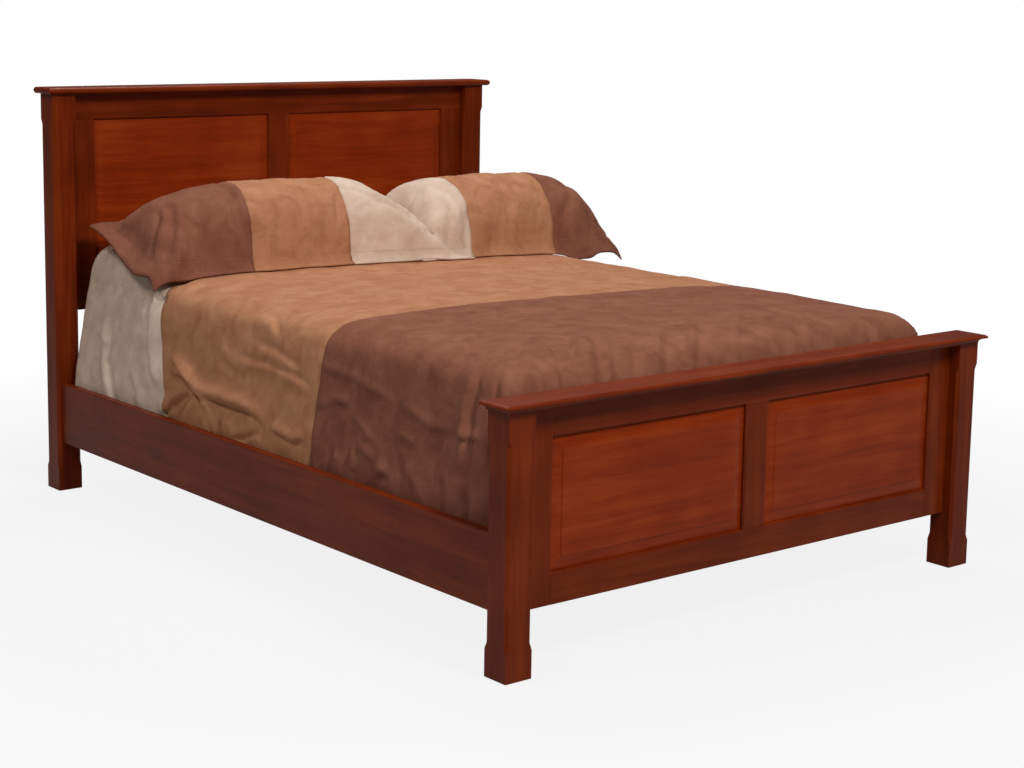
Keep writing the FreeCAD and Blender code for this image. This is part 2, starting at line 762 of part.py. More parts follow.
def leg_bolt(y):
    """A bolt through both cheeks and the beam, with its nut."""
    half = LEG_WIDTH / 2
    z = BEAM_BOTTOM + LEG_SLOT / 2
    pieces = [rod(BOLT_RADIUS, 2 * half, V(-half, y, z), V(1, 0, 0))]
    for side in (-1, 1):
        outline = hexagon(V(side * half, y, z), BOLT_HEAD_RADIUS, V(0, 1, 0), V(0, 0, 1))
        pieces.append(prism(outline, V(side * BOLT_HEAD_HEIGHT, 0, 0)))
    return join(pieces)


def leg_bolts():
    return [leg_bolt(y) for y in leg_places()]


def leveller(y):
    """Pad and stud of one levelling foot, standing on the floor."""
    outline = hexagon(V(0, y, 0), PAD_RADIUS, V(1, 0, 0), V(0, 1, 0))
    stud = rod(STUD_RADIUS, STUD_LENGTH, V(0, y, PAD_HEIGHT), V(0, 0, 1))
    return join([prism(outline, V(0, 0, PAD_HEIGHT)), stud])


# --- Foundation, mattress and cover ----------------------------------------------------------
def plan_prism(half_x, half_y, corner, low, high):
    """An upright block with rounded corners."""
    body = box((-half_x, half_x), (-half_y, half_y), (low, high))
    upright = [e for e in body.Edges if abs(e.Vertexes[0].Z - e.Vertexes[-1].Z) > 1.0]
    return body.makeFillet(corner, upright)


def padded_outline(at, half, lean, drop, shoulder, crown_rise, grow):
    """Closed outline of the bedding: bellied sides, rounded shoulders and a low crown.

    at(u, z) places a point u from the middle; grow moves the whole outline outwards.
    """
    top = MATTRESS_TOP + grow
    hem = half + grow + HEM_FLARE
    turn = half + grow - lean
    turn_z = top - drop
    crown = turn - shoulder
    edges = [line(at(-hem, COVER_HEM), at(hem, COVER_HEM))]
    for side in (-1, 1):
        middle = at(side * ((hem + turn) / 2 + SIDE_BULGE), (COVER_HEM + turn_z) / 2)
        edges.append(arc(at(side * hem, COVER_HEM), middle, at(side * turn, turn_z)))
        soft = at(side * (crown + shoulder * 0.7), turn_z + (drop - CROWN_DROP) * 0.7)
        edges.append(arc(at(side * turn, turn_z), soft, at(side * crown, top - CROWN_DROP)))
    edges.append(arc(at(-crown, top - CROWN_DROP), at(0, top + crown_rise), at(crown, top - CROWN_DROP)))
    return Part.__sortEdges__(edges)


def bed_block(grow):
    """Mattress shape carried down to the hem: two extrusions and a rounded plan in common."""
    wide = MATTRESS_HALF_WIDTH + grow + HEM_FLARE
    long = MATTRESS_HALF_LENGTH + grow + HEM_FLARE
    sides = (MATTRESS_HALF_WIDTH, SIDE_LEAN, SIDE_DROP, SIDE_SHOULDER, 0.0, grow)
    ends = (MATTRESS_HALF_LENGTH, END_LEAN, END_DROP, END_SHOULDER, END_CROWN, grow)
    along = prism(padded_outline(lambda u, z: V(u, -long, z), *sides), V(0, 2 * long, 0))
    across = prism(padded_outline(lambda u, z: V(-wide, u, z), *ends), V(2 * wide, 0, 0))
    plan = plan_prism(wide + 2.0, long + 2.0, PLAN_CORNER + grow, COVER_HEM - 1.0, MATTRESS_TOP + grow + 1.0)
    return along.common(across).common(plan)


def head_rise(grow):
    """The flat pillows' outer form, in common from a lengthwise and a crosswise outline."""
    top = HEAD_PILLOW_TOP + grow
    low = MATTRESS_TOP - 60.0
    start, end = HEAD_PILLOW_START - grow, HEAD_PILLOW_END + grow * 0.6
    half = HEAD_PILLOW_HALF_WIDTH + grow
    reach = half + 1.0
    rise = [
        line(V(-reach, start, low), V(-reach, end, low)),
        line(V(-reach, end, low), V(-reach, end, top - 50.0)),
        arc(V(-reach, end, top - 50.0), V(-reach, end - 14.0, top - 14.0), V(-reach, end - 55.0, top)),
        line(V(-reach, end - 55.0, top), V(-reach, start + 235.0, top)),
        arc(
            V(-reach, start + 235.0, top),
            V(-reach, start + 110.0, top - 18.0),
            V(-reach, start, MATTRESS_TOP - 20.0),
        ),
        line(V(-reach, start, MATTRESS_TOP - 20.0), V(-reach, start, low)),
    ]
    width = [line(V(-half, start, low), V(half, start, low))]
    for side in (-1, 1):
        width.append(
            arc(
                V(side * half, start, low),
                V(side * (half - 18.0), start, low + (top - low) * 0.62),
                V(side * (half - 76.0), start, top),
            )
        )
    width.append(line(V(76.0 - half, start, top), V(half - 76.0, start, top)))
    lengthwise = prism(Part.__sortEdges__(rise), V(2 * reach, 0, 0))
    return lengthwise.common(prism(Part.__sortEdges__(width), V(0, end - start, 0)))


def foundation():
    half_x = MATTRESS_HALF_WIDTH - FOUNDATION_SIDE_INSET
    half_y = MATTRESS_HALF_LENGTH - FOUNDATION_END_INSET
    return plan_prism(half_x, half_y, PLAN_CORNER, FOUNDATION_BOTTOM, FOUNDATION_TOP)


def mattress():
    wide = (-PAST_IT_ALL, PAST_IT_ALL)
    return bed_block(0.0).common(box(wide, wide, (MATTRESS_BOTTOM, PAST_IT_ALL)))


def head_pillows():
    """Two flat pillows under the cover, side by side on the mattress."""
    both = head_rise(0.0).cut(bed_block(CURVED_GAP))
    half = HEAD_PILLOW_PARTING / 2
    along, up = (0.0, PAST_IT_ALL), (MATTRESS_BOTTOM, PAST_IT_ALL)
    sides = [both.common(box((side * half, side * PAST_IT_ALL), along, up)) for side in (-1, 1)]
    return [side.Solids[0] for side in sides]


def fold(foot, top):
    """One fold of the hanging cover: a long cone, wide at the hem, mostly inside the shell."""
    run = top - foot
    return Part.makeCone(FOLD_RADIUS, 3.0, run.Length, foot, run.normalize())


def side_reach(z, half, lean, drop):
    """How far the cover's side stands from the middle at height z, less the fold's seat."""
    turn_z = MATTRESS_TOP + COVER_THICKNESS - drop
    share = (z - COVER_HEM) / (turn_z - COVER_HEM)
    return half + COVER_THICKNESS + HEM_FLARE - (HEM_FLARE + lean) * share - 5.0 * (1 - share)


def folds():
    """The main folds of the tan band: one down each side, and a fan by the cream seam."""
    ridges = []
    low = COVER_HEM + 3.0
    back, lean, top = SIDE_FOLD
    falls = [(side, HEAD_END - back, lean, top) for side in (-1, 1)]
    middle = HEAD_END - SEAM_FAN[0] / 3 - SEAM_FAN[1] / 3 - SEAM_FAN[2] / 3 + SEAM_FAN_PULL
    for back in SEAM_FAN:
        y = HEAD_END - back
        falls.append((-1, y, (middle - y) * SEAM_FAN_CLOSE, SEAM_FAN_TOP))
    for side, y, lean, top in falls:
        near = side_reach(low, MATTRESS_HALF_WIDTH, SIDE_LEAN, SIDE_DROP)
        far = side_reach(top, MATTRESS_HALF_WIDTH, SIDE_LEAN, SIDE_DROP)
        ridges.append(fold(V(side * near, y, low), V(side * far, y + lean, top)))
    return ridges


def cover():
    """The whole comforter: a shell over mattress and flat pillows, open at the head end."""
    grow = CURVED_GAP + COVER_THICKNESS
    outer = bed_block(grow).fuse(head_rise(grow))
    for ridge in folds():
        outer = outer.fuse(ridge)
    shell = outer.cut(bed_block(CURVED_GAP)).cut(head_rise(CURVED_GAP))
    below = plan_prism(
        MATTRESS_HALF_WIDTH, MATTRESS_HALF_LENGTH, PLAN_CORNER, RAIL_BOTTOM, COVER_HEM + 1.0
    )
    end = HEAD_END - COVER_HEAD_INSET
    beyond = (-PAST_IT_ALL, PAST_IT_ALL)
    return shell.cut(below).cut(box(beyond, (end, PAST_IT_ALL), beyond))


def cover_bands():
    """Cut at its two sewn seams: across the foot third, and leaning back near the pillows."""
    whole = cover()
    far, rise = PAST_IT_ALL, MATTRESS_TOP + COVER_THICKNESS + HEAD_PILLOW_TOP
    back, slope = BROWN_SEAM
    middle = HEAD_END - back
    foot = polygon(
        [
            V(-far, -far, 0),
            V(far, -far, 0),
            V(far, middle + slope * far, 0),
            V(-far, middle - slope * far, 0),
        ]
    )
    foot_space = prism(foot, V(0, 0, rise))
    back, lean = CREAM_SEAM
    start = HEAD_END - back - lean * RAIL_TOP
    head = polygon(
        [V(-far, start, 0), V(-far, far, 0), V(-far, far, rise), V(-far, start + lean * rise, rise)]
    )
    head_space = prism(head, V(2 * far, 0, 0))
    return {
        "comforter_brown": whole.common(foot_space),
        "comforter_tan": whole.cut(foot_space).cut(head_space),
        "comforter_cream": whole.common(head_space),
    }


# --- Pillows ---------------------------------------------------------------------------------
def crown(half_x, half_y):
    """The stuffed body: a round vault along the pillow in common with a long one across it."""
    low = -PILLOW_FLANGE_THICKNESS / 2
    rise = PILLOW_CROWN - PILLOW_TOP_CURVE
    over_x, over_y = half_x + 5.0, half_y + 5.0
    front, back = V(-over_x, -half_y, low), V(-over_x, half_y, low)
    vault = prism([arc(front, V(-over_x, 0, PILLOW_CROWN), back), line(back, front)], V(2 * over_x, 0, 0))
    left, right = V(-half_x, -over_y, low), V(half_x, -over_y, low)
    turns = [V(side * (half_x - PILLOW_END), -over_y, rise) for side in (-1, 1)]
    soft = [V(side * (half_x - PILLOW_END * 0.3), -over_y, rise * 0.68) for side in (-1, 1)]
    outline = [
        arc(left, soft[0], turns[0]),
        arc(turns[0], V(0, -over_y, PILLOW_CROWN + 1.0), turns[1]),
        arc(turns[1], soft[1], right),
        line(right, left),
    ]
    return vault.common(prism(outline, V(0, 2 * over_y, 0)))


def flange(half_x, half_y):
    """The flat border: four edges drawn in between the corners."""
    z = -PILLOW_FLANGE_THICKNESS / 2
    in_x, in_y = half_x - PILLOW_DRAW_IN / 2, half_y - PILLOW_DRAW_IN
    corner = [V(-half_x, -half_y, z), V(half_x, -half_y, z), V(half_x, half_y, z), V(-half_x, half_y, z)]
    middle = [V(0, -in_y, z), V(in_x, 0, z), V(0, in_y, z), V(-in_x, 0, z)]
    sides = [arc(corner[k], middle[k], corner[(k + 1) % 4]) for k in range(4)]
    return prism(sides, V(0, 0, PILLOW_FLANGE_THICKNESS))


def pillow(place, seams):
    """A crowned pillow with its border, cut at its two sewn seams and set down on the cover."""
    x, back, over, turn, length = place
    half_x, half_y = length / 2, PILLOW_DEPTH / 2
    body = crown(half_x - PILLOW_FLANGE, half_y - PILLOW_FLANGE)
    whole = body.fuse(flange(half_x, half_y))
    bounds = (-half_x - 1.0,) + seams + (half_x + 1.0,)
    bands = []
    for low, high in zip(bounds, bounds[1:]):
        band = whole.common(box((low, high), (-half_y, half_y), (-PILLOW_CROWN, 2 * PILLOW_CROWN)))
        band.rotate(V(0, 0, 0), V(1, 0, 0), PILLOW_TILT)
        band.rotate(V(0, 0, 0), V(0, 0, 1), turn)
        band.translate(V(x, HEAD_END - back, MATTRESS_TOP + over))
        bands.append(band)
    return bands


# --- Everything ------------------------------------------------------------------------------
def frame_pieces():
    """Right-hand pieces, mirrored for the left, and the pieces on the middle line."""
    rights = {
        "foot_post_right": post(-1, FOOT_POST_TOP, CHAMFER_STOP_FOOT).cut(foot_post_groove()),
        "head_post_right": post(1, HEAD_POST_TOP, CHAMFER_STOP_HEAD).cut(head_post_mortises()),
        "side_rail_right": side_rail(),
        "rail_ledger_right": ledger(),
    }
    rights.update(foot_board())
    rights.update(head_board())
    pieces = {"foot_cap": foot_cap(), "head_cap": head_cap(), "head_stretcher": stretcher()}
    for name, shape in rights.items():
        pieces[name] = shape
        if name.endswith("_right"):
            pieces[name.replace("_right", "_left")] = mirrored(shape)
    return pieces


def hardware():
    """Groups of like pieces; each right-hand piece has its mirror on the left."""
    hooks = [hook_plate(end) for end in (-1, 1)]
    keepers = [keeper_plate(end) for end in (-1, 1)]
    glides = [glide(end) for end in (-1, 1)]
    dowels = [cap_dowel(-1, FOOT_POST_TOP), cap_dowel(1, HEAD_POST_TOP)]
    return {
        "hook_plates_right": hooks,
        "hook_plates_left": [mirrored(one) for one in hooks],
        "keeper_plates_right": keepers,
        "keeper_plates_left": [mirrored(one) for one in keepers],
        "post_glides": glides + [mirrored(one) for one in glides],
        "cap_dowels": dowels + [mirrored(one) for one in dowels],
    }


def middle_support():
    places = leg_places()
    return {
        "slats": slats(),
        "centre_beam": centre_beam(),
        "beam_hangers": [hanger(-1), hanger(1)],
        "centre_legs": [centre_leg(y) for y in places],
        "leg_bolts": leg_bolts(),
        "leveller_foot": leveller(places[0]),
        "leveller_middle": leveller(places[1]),
        "leveller_head": leveller(places[2]),
    }


def bedding():
    left = pillow(PILLOW_LEFT, PILLOW_LEFT_SEAMS)
    right = pillow(PILLOW_RIGHT, PILLOW_RIGHT_SEAMS)
    pieces = {
        "foundation": foundation(),
        "mattress": mattress(),
        "head_pillows": head_pillows(),
        "pillow_left_brown": left[0],
        "pillow_left_tan": left[1],
        "pillow_left_cream": left[2],
        "pillow_right_cream": right[0],
        "pillow_right_tan": right[1],
        "pillow_right_brown": right[2],
    }
    pieces.update(cover_bands())
    return pieces


os.makedirs("parts", exist_ok=True)
for group in (frame_pieces(), hardware(), middle_support(), bedding()):
    for name, shape in group.items():
        export(name, shape)
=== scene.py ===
# %% [markdown]
# # A panel bed, dressed for its picture
#
# The wooden frame comes from the CAD model and stays as it is: here it gets its stained
# cherry finish, softened edges and the screws that hold its ledgers. The bedding is made
# here, over the plain shapes that the CAD model holds for it. All lengths are in metres,
# with the floor at z = 0, +Y towards the headboard and +X to the right from the foot end.

# %% Load the frame
import bpy, bmesh, math
import numpy as np
from mathutils import Matrix, Vector, noise
from mathutils.bvhtree import BVHTree


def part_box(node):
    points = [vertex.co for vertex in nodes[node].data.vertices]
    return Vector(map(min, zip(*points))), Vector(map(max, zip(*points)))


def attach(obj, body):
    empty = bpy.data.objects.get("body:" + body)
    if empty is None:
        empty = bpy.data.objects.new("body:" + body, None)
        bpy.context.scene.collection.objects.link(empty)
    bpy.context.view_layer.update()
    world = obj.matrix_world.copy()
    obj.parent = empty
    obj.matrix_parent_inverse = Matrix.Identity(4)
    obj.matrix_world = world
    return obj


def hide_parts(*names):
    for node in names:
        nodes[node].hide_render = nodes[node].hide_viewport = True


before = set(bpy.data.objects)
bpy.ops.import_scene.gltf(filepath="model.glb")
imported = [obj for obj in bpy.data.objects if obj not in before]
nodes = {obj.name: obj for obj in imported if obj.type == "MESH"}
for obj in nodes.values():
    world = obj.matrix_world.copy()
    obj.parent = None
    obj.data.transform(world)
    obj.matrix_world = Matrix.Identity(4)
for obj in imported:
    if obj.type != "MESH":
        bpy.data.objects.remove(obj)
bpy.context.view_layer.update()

# %% [markdown]
# ## Camera
# The view was worked out from the straight edges of the frame, so that the render can be
# laid over the photograph. A long lens stands low at the foot-left corner. The small shift
# puts the picture's middle where it was cropped, which a turn of the camera couldn't do
# without tilting the posts.

# %% Camera
camera = bpy.data.objects.new("camera", bpy.data.cameras.new("camera"))
bpy.context.scene.collection.objects.link(camera)
camera.location = (-3.5371, -4.3920, 1.5315)
camera.rotation_euler = [math.radians(turn) for turn in (80.999, -0.882, -38.965)]
camera.data.lens = 69.75
camera.data.shift_x, camera.data.shift_y = 0.0196, -0.0741
bpy.context.scene.camera = camera
print("camera looks from", [round(c, 2) for c in camera.location])

# %% [markdown]
# ## Light and floor
# A furniture studio hangs soft boxes round the set, so that edges read and no shadow is
# hard. The strongest stands high beyond the foot end. A smaller one hangs high on the left,
# so that folds and bevels throw short shadows, and one over the bed makes the caps and the
# cover's top the brightest. The world fills in evenly. The floor shows white to the camera,
# but keeps the shadow under the bed, and it is dim in reflections. Away from the bed it
# turns wholly white, so that no horizon shows.

# %% Helpers for shader nodes
def new_material(name):
    """An empty material, with its nodes, its links and its shader."""
    material = bpy.data.materials.new(name)
    material.use_nodes = True
    tree = material.node_tree
    return material, tree.nodes, tree.links, tree.nodes["Principled BSDF"]


def fill_in(node, **values):
    """Set a node's inputs by the names they show, with _ for each space."""
    for key, value in values.items():
        node.inputs[key.replace("_", " ")].default_value = value


def add_node(nodes_, kind, **settings):
    """A shader node with its settings and, by number, its input values."""
    node = nodes_.new("ShaderNode" + kind)
    for key, value in settings.items():
        if key.startswith("input_"):
            node.inputs[int(key[6:])].default_value = value
        else:
            setattr(node, key, value)
    return node


def wire(links, *joints):
    """Link places given as (node, output, node, input), by name or number."""
    for giver, output, taker, place in joints:
        links.new(giver.outputs[output], taker.inputs[place])


def noise_node(nodes_, links, place, **values):
    """Noise that reads the given socket, with its inputs set by name."""
    node = nodes_.new("ShaderNodeTexNoise")
    fill_in(node, **values)
    links.new(place, node.inputs["Vector"])
    return node


def bump(nodes_, links, height, strength, distance):
    """A bump that reads its height from a noise node."""
    node = nodes_.new("ShaderNodeBump")
    fill_in(node, Strength=strength, Distance=distance)
    links.new(height.outputs["Fac"], node.inputs["Height"])
    return node


def linear(code):
    """A written colour such as #8a4b2f as the linear numbers that a shader takes."""
    parts = [int(code[k:k + 2], 16) / 255 for k in (1, 3, 5)]
    return [p / 12.92 if p <= 0.04045 else ((p + 0.055) / 1.055) ** 2.4 for p in parts] + [1.0]


def ramp(nodes_, *stops):
    """A colour ramp from (place, colour code) stops."""
    node = nodes_.new("ShaderNodeValToRGB")
    elements = node.color_ramp.elements
    while len(elements) < len(stops):
        elements.new(0.5)
    for element, (place, code) in zip(elements, stops):
        element.position, element.color = place, linear(code)
    return node


# %% World and lamps
scene = bpy.context.scene
scene.view_settings.view_transform = "Standard"
world = bpy.data.worlds.new("studio")
scene.world = world
world.use_nodes = True
sky, sky_links = world.node_tree.nodes, world.node_tree.links
sky.clear()
rays = add_node(sky, "LightPath")
fill = add_node(sky, "Background", input_0=(1.0, 0.98, 0.95, 1), input_1=0.12)
white = add_node(sky, "Background", input_0=(1, 1, 1, 1), input_1=1.0)
choose = add_node(sky, "MixShader")
wire(sky_links, (rays, "Is Camera Ray", choose, 0), (fill, 0, choose, 1), (white, 0, choose, 2),
     (choose, 0, add_node(sky, "OutputWorld"), 0))
WARM_WHITE = (1.0, 0.98, 0.95)


def soft_box(name, place, target, size, power, colour):
    """A square lamp that faces the target."""
    lamp = bpy.data.objects.new(name, bpy.data.lights.new(name, "AREA"))
    scene.collection.objects.link(lamp)
    lamp.data.shape, lamp.data.size, lamp.data.energy = "SQUARE", size, power
    lamp.data.color = colour
    lamp.location = place
    lamp.rotation_euler = (Vector(place) - Vector(target)).to_track_quat("Z", "Y").to_euler()


soft_box("key_light", (-0.6, -3.9, 4.3), (0.0, 0.0, 0.5), 1.3, 165, WARM_WHITE)
soft_box("side_light", (-3.3, -0.4, 3.9), (0.0, 0.0, 0.5), 0.9, 52, WARM_WHITE)
soft_box("top_light", (0.6, 1.5, 4.2), (0.0, -0.2, 0.6), 1.6, 66, (1, 1, 1))

# %% Floor
bpy.ops.object.select_all(action="DESELECT")
bpy.ops.mesh.primitive_plane_add(size=14, location=(0, 0, 0))
floor = bpy.context.object
floor.name = "floor"
paper, paper_nodes, paper_links, paper_shader = new_material("white_paper")
fill_in(paper_shader, Base_Color=(0.45, 0.45, 0.45, 1), Roughness=0.95, Specular_IOR_Level=0.1)
seen = add_node(paper_nodes, "LightPath")
dim_gloss = add_node(paper_nodes, "Math", operation="MULTIPLY", input_1=0.15)
either = add_node(paper_nodes, "Math", operation="MAXIMUM")
any_ray = add_node(paper_nodes, "Math", operation="MAXIMUM")
where = add_node(paper_nodes, "TexCoord")
from_bed = add_node(paper_nodes, "VectorMath", operation="LENGTH")
spread = add_node(paper_nodes, "MapRange", input_1=1.6, input_2=3.0, input_3=0.86, input_4=1.0)
share = add_node(paper_nodes, "Math", operation="MULTIPLY")
glow = add_node(paper_nodes, "Emission", input_0=(1, 1, 1, 1), input_1=1.0)
blend_in = add_node(paper_nodes, "MixShader")
wire(paper_links, (seen, "Is Glossy Ray", dim_gloss, 0), (seen, "Is Camera Ray", either, 0),
     (dim_gloss, 0, either, 1), (either, 0, any_ray, 0), (seen, "Is Transmission Ray", any_ray, 1),
     (where, "Object", from_bed, 0), (from_bed, "Value", spread, 0), (any_ray, 0, share, 0),
     (spread, 0, share, 1), (share, 0, blend_in, 0), (paper_shader, 0, blend_in, 1),
     (glow, 0, blend_in, 2), (blend_in, 0, paper_nodes["Material Output"], 0))
floor.data.materials.append(paper)
print("floor made")

# %% [markdown]
# ## Stained cherry
# Cherry shows long soft streaks, short dark pores and a mottled red stain under a satin
# lacquer. A picture of wood could be laid on, but it would repeat and ignore how each piece
# was sawn. Here streaks and pores are noise pulled out along the grain, and the mottling is
# round noise. The grain follows each piece, so there is one material for each direction.

# %% Cherry material
GRAIN_STRETCH = {"x": (1, 18, 18), "y": (18, 1, 18), "z": (18, 18, 1)}


def grain_places(made, links, along):
    """The piece's own places, and the same pulled out along the grain."""
    place = add_node(made, "TexCoord").outputs["Object"]
    stretch = add_node(made, "Mapping")
    fill_in(stretch, Scale=GRAIN_STRETCH[along])
    links.new(place, stretch.inputs[0])
    return place, stretch.outputs[0]


def stained_cherry(name, along, dark, middle, light, rough=0.40):
    """Cherry stained in three tones, with its grain along one axis."""
    material, made, links, shader = new_material(name)
    place, grain = grain_places(made, links, along)
    streaks = noise_node(made, links, grain, Scale=1.5, Detail=9, Roughness=0.62, Distortion=0.9)
    mottle = noise_node(made, links, place, Scale=5.5, Detail=4)
    pores = noise_node(made, links, grain, Scale=16, Detail=5, Roughness=0.7)
    mixed = add_node(made, "Mix", data_type="FLOAT", input_0=0.38)
    stain = ramp(made, (0.33, dark), (0.5, middle), (0.68, light))
    pore_cut = add_node(made, "MapRange", input_1=0.56, input_2=0.74, input_3=1.0, input_4=0.62)
    darken = add_node(made, "Mix", data_type="RGBA", blend_type="MULTIPLY", input_0=1.0)
    wire(links, (streaks, "Fac", mixed, 2), (mottle, "Fac", mixed, 3), (mixed, 0, stain, 0),
         (pores, "Fac", pore_cut, 0), (stain, 0, darken, 6), (pore_cut, 0, darken, 7),
         (darken, 2, shader, "Base Color"), (bump(made, links, pores, 0.10, 0.0006), 0, shader, "Normal"))
    fill_in(shader, Roughness=rough, Specular_IOR_Level=0.22, Specular_Tint=linear("#ffa878"),
            Coat_Weight=0.10, Coat_Roughness=0.22, Coat_IOR=1.5)
    return material


CHERRY_TONES = ("#561904", "#6f2408", "#86350f")
cherry = {along: stained_cherry("cherry_" + along, along, *CHERRY_TONES) for along in "xyz"}
panel_cherry = stained_cherry("cherry_panel", "x", "#752306", "#8c2f0a", "#a04013", 0.34)
print("cherry materials:", len(cherry) + 1)

# %% Which way each piece of wood runs
UPRIGHT = ("post", "stile", "mullion")
NOT_CHERRY = ("cap_dowels", "post_glides", "head_pillows")
cherry_nodes = [name for name in nodes
                if name.startswith(("foot_", "head_", "side_rail")) and name not in NOT_CHERRY]


def finish_with(node, material):
    node.data.materials.clear()
    node.data.materials.append(material)


for name in cherry_nodes:
    if name.startswith("side_rail"):
        wood = cherry["y"]
    elif any(word in name for word in UPRIGHT):
        wood = cherry["z"]
    elif "panel" in name:
        wood = panel_cherry
    else:
        wood = cherry["x"]
    finish_with(nodes[name], wood)
print("stained pieces:", len(cherry_nodes))

# %% [markdown]
# ## Pine, zinc and nickel
# Slats, ledgers, beam and legs are plain pine, pale with long yellow streaks. The fittings
# are zinc-plated steel, slightly blotched, and the glides are nickel. All of them sit in the
# shade under the bed, so one noise is enough to give each its streaks or its blotches.

# %% Pine
def plain_pine(name, along):
    """Pale pine with long rings along one axis."""
    material, made, links, shader = new_material(name)
    rings = noise_node(made, links, grain_places(made, links, along)[1], Scale=2.2, Detail=7, Distortion=1.4)
    tone = ramp(made, (0.35, "#b98d55"), (0.52, "#d4b37f"), (0.66, "#e2c796"))
    wire(links, (rings, "Fac", tone, 0), (tone, 0, shader, "Base Color"),
         (bump(made, links, rings, 0.15, 0.0008), 0, shader, "Normal"))
    fill_in(shader, Roughness=0.62)
    return material


pine_runs = {"slats": "x", "rail_ledger_left": "y", "rail_ledger_right": "y", "centre_beam": "y",
             "centre_legs": "z", "cap_dowels": "z"}
pine = {along: plain_pine("pine_" + along, along) for along in "xyz"}
for name, along in pine_runs.items():
    finish_with(nodes[name], pine[along])
print("pine pieces:", len(pine_runs))


# %% Zinc and nickel
def plated_steel(name, dark, light, rough):
    """Bright steel, slightly blotched in colour and in gloss."""
    material, made, links, shader = new_material(name)
    place = add_node(made, "TexCoord").outputs["Object"]
    spangle = noise_node(made, links, place, Scale=90, Detail=3)
    tone = ramp(made, (0.35, dark), (0.65, light))
    wear = add_node(made, "MapRange", input_1=0.3, input_2=0.7, input_3=rough - 0.07, input_4=rough + 0.09)
    wire(links, (spangle, "Fac", tone, 0), (tone, 0, shader, "Base Color"),
         (spangle, "Fac", wear, 0), (wear, 0, shader, "Roughness"))
    fill_in(shader, Metallic=1.0)
    return material


zinc = plated_steel("zinc_plate", "#8f9294", "#b9bcbd", 0.34)
nickel = plated_steel("nickel_plate", "#b4b4b0", "#d6d5d0", 0.2)
STEEL_NODES = [name for name in nodes
               if name.startswith(("hook_", "keeper_", "beam_hangers", "leg_bolts", "leveller"))]
for name in STEEL_NODES:
    finish_with(nodes[name], zinc)
finish_with(nodes["post_glides"], nickel)
print("steel pieces:", len(STEEL_NODES) + 1)

# %% [markdown]
# ## Softened edges
# Sanding rounds every edge of a real frame a little, and the lacquer then shows a fine bright
# line there. The CAD meshes are loose triangles, so each piece is shaded flat, welds its
# corners and then rounds its edges, by modifiers. On the caps and side rails only the sharper
# edges are rounded, since their mouldings are curves.

# %% Ease the edges of wood and steel
WELD_WITHIN = 0.00002
ALL_EDGES, SHARP_EDGES = 8, 28                       # degrees between two faces
WOOD_EDGE, PINE_EDGE, STEEL_EDGE = 0.0011, 0.0012, 0.0004


def ease_edges(node, width, from_angle=ALL_EDGES):
    """Weld the node's corners and round its edges, by modifiers."""
    node.modifiers.new("weld", "WELD").merge_threshold = WELD_WITHIN
    bevel = node.modifiers.new("eased_edges", "BEVEL")
    bevel.width, bevel.segments = width, 2
    bevel.limit_method, bevel.angle_limit = "ANGLE", math.radians(from_angle)
    bevel.harden_normals = False


bpy.ops.object.select_all(action="DESELECT")
for name in cherry_nodes + list(pine_runs) + STEEL_NODES:
    nodes[name].select_set(True)
    bpy.context.view_layer.objects.active = nodes[name]
bpy.ops.object.shade_flat()
bpy.ops.object.select_all(action="DESELECT")
for name in cherry_nodes:
    moulded = "cap" in name or name.startswith("side_rail")
    ease_edges(nodes[name], WOOD_EDGE, SHARP_EDGES if moulded else ALL_EDGES)
for name in pine_runs:
    ease_edges(nodes[name], PINE_EDGE)
for name in STEEL_NODES:
    ease_edges(nodes[name], STEEL_EDGE)
print("edges eased on", len(cherry_nodes) + len(pine_runs) + len(STEEL_NODES), "pieces")

# %% [markdown]
# ## Mattress and foundation
# Both are boxes of wadding, the mattress in a striped cover and the foundation in a plain
# one, with corded seams round their edges. The mattress is tufted: its filling rises between
# the points where the cover is tied down. Each is a copy of its CAD solid, so that the
# comforter lies on the same form. The copy is remeshed evenly, so that tufts can be pressed in.

# %% Ticking
def ticking(name, ground_code, stripe_code):
    """Plain woven cloth with fine stripes along the bed."""
    material, made, links, shader = new_material(name)
    place = add_node(made, "TexCoord").outputs["Object"]
    stripes = add_node(made, "TexWave", wave_type="BANDS", bands_direction="X")
    fill_in(stripes, Scale=6.0, Detail_Scale=0)
    links.new(place, stripes.inputs["Vector"])
    weave = noise_node(made, links, place, Scale=900)
    tone = ramp(made, (0.86, ground_code), (0.93, stripe_code))
    wire(links, (stripes, "Fac", tone, 0), (tone, 0, shader, "Base Color"),
         (bump(made, links, weave, 0.3, 0.0003), 0, shader, "Normal"))
    fill_in(shader, Roughness=0.85, Sheen_Weight=0.1)
    return material


mattress_cloth = ticking("mattress_ticking", "#dcd8cd", "#a9b0bb")
foundation_cloth = ticking("foundation_cloth", "#cfcabf", "#cfcabf")
cord_cloth = ticking("cord_cloth", "#c3bfb2", "#c3bfb2")


# %% Tools for new pieces
def new_piece(name, mesh, material=None):
    """An object for a mesh, with its material."""
    piece = bpy.data.objects.new(name, mesh)
    scene.collection.objects.link(piece)
    if material:
        finish_with(piece, material)
    return piece


def select_only(piece):
    bpy.ops.object.select_all(action="DESELECT")
    piece.select_set(True)
    bpy.context.view_layer.objects.active = piece


def new_mesh(name, points, faces):
    mesh = bpy.data.meshes.new(name)
    mesh.from_pydata(points, [], faces)
    return mesh


# %% Wadding in the form of a CAD solid
TUFT_DEPTH = 0.004


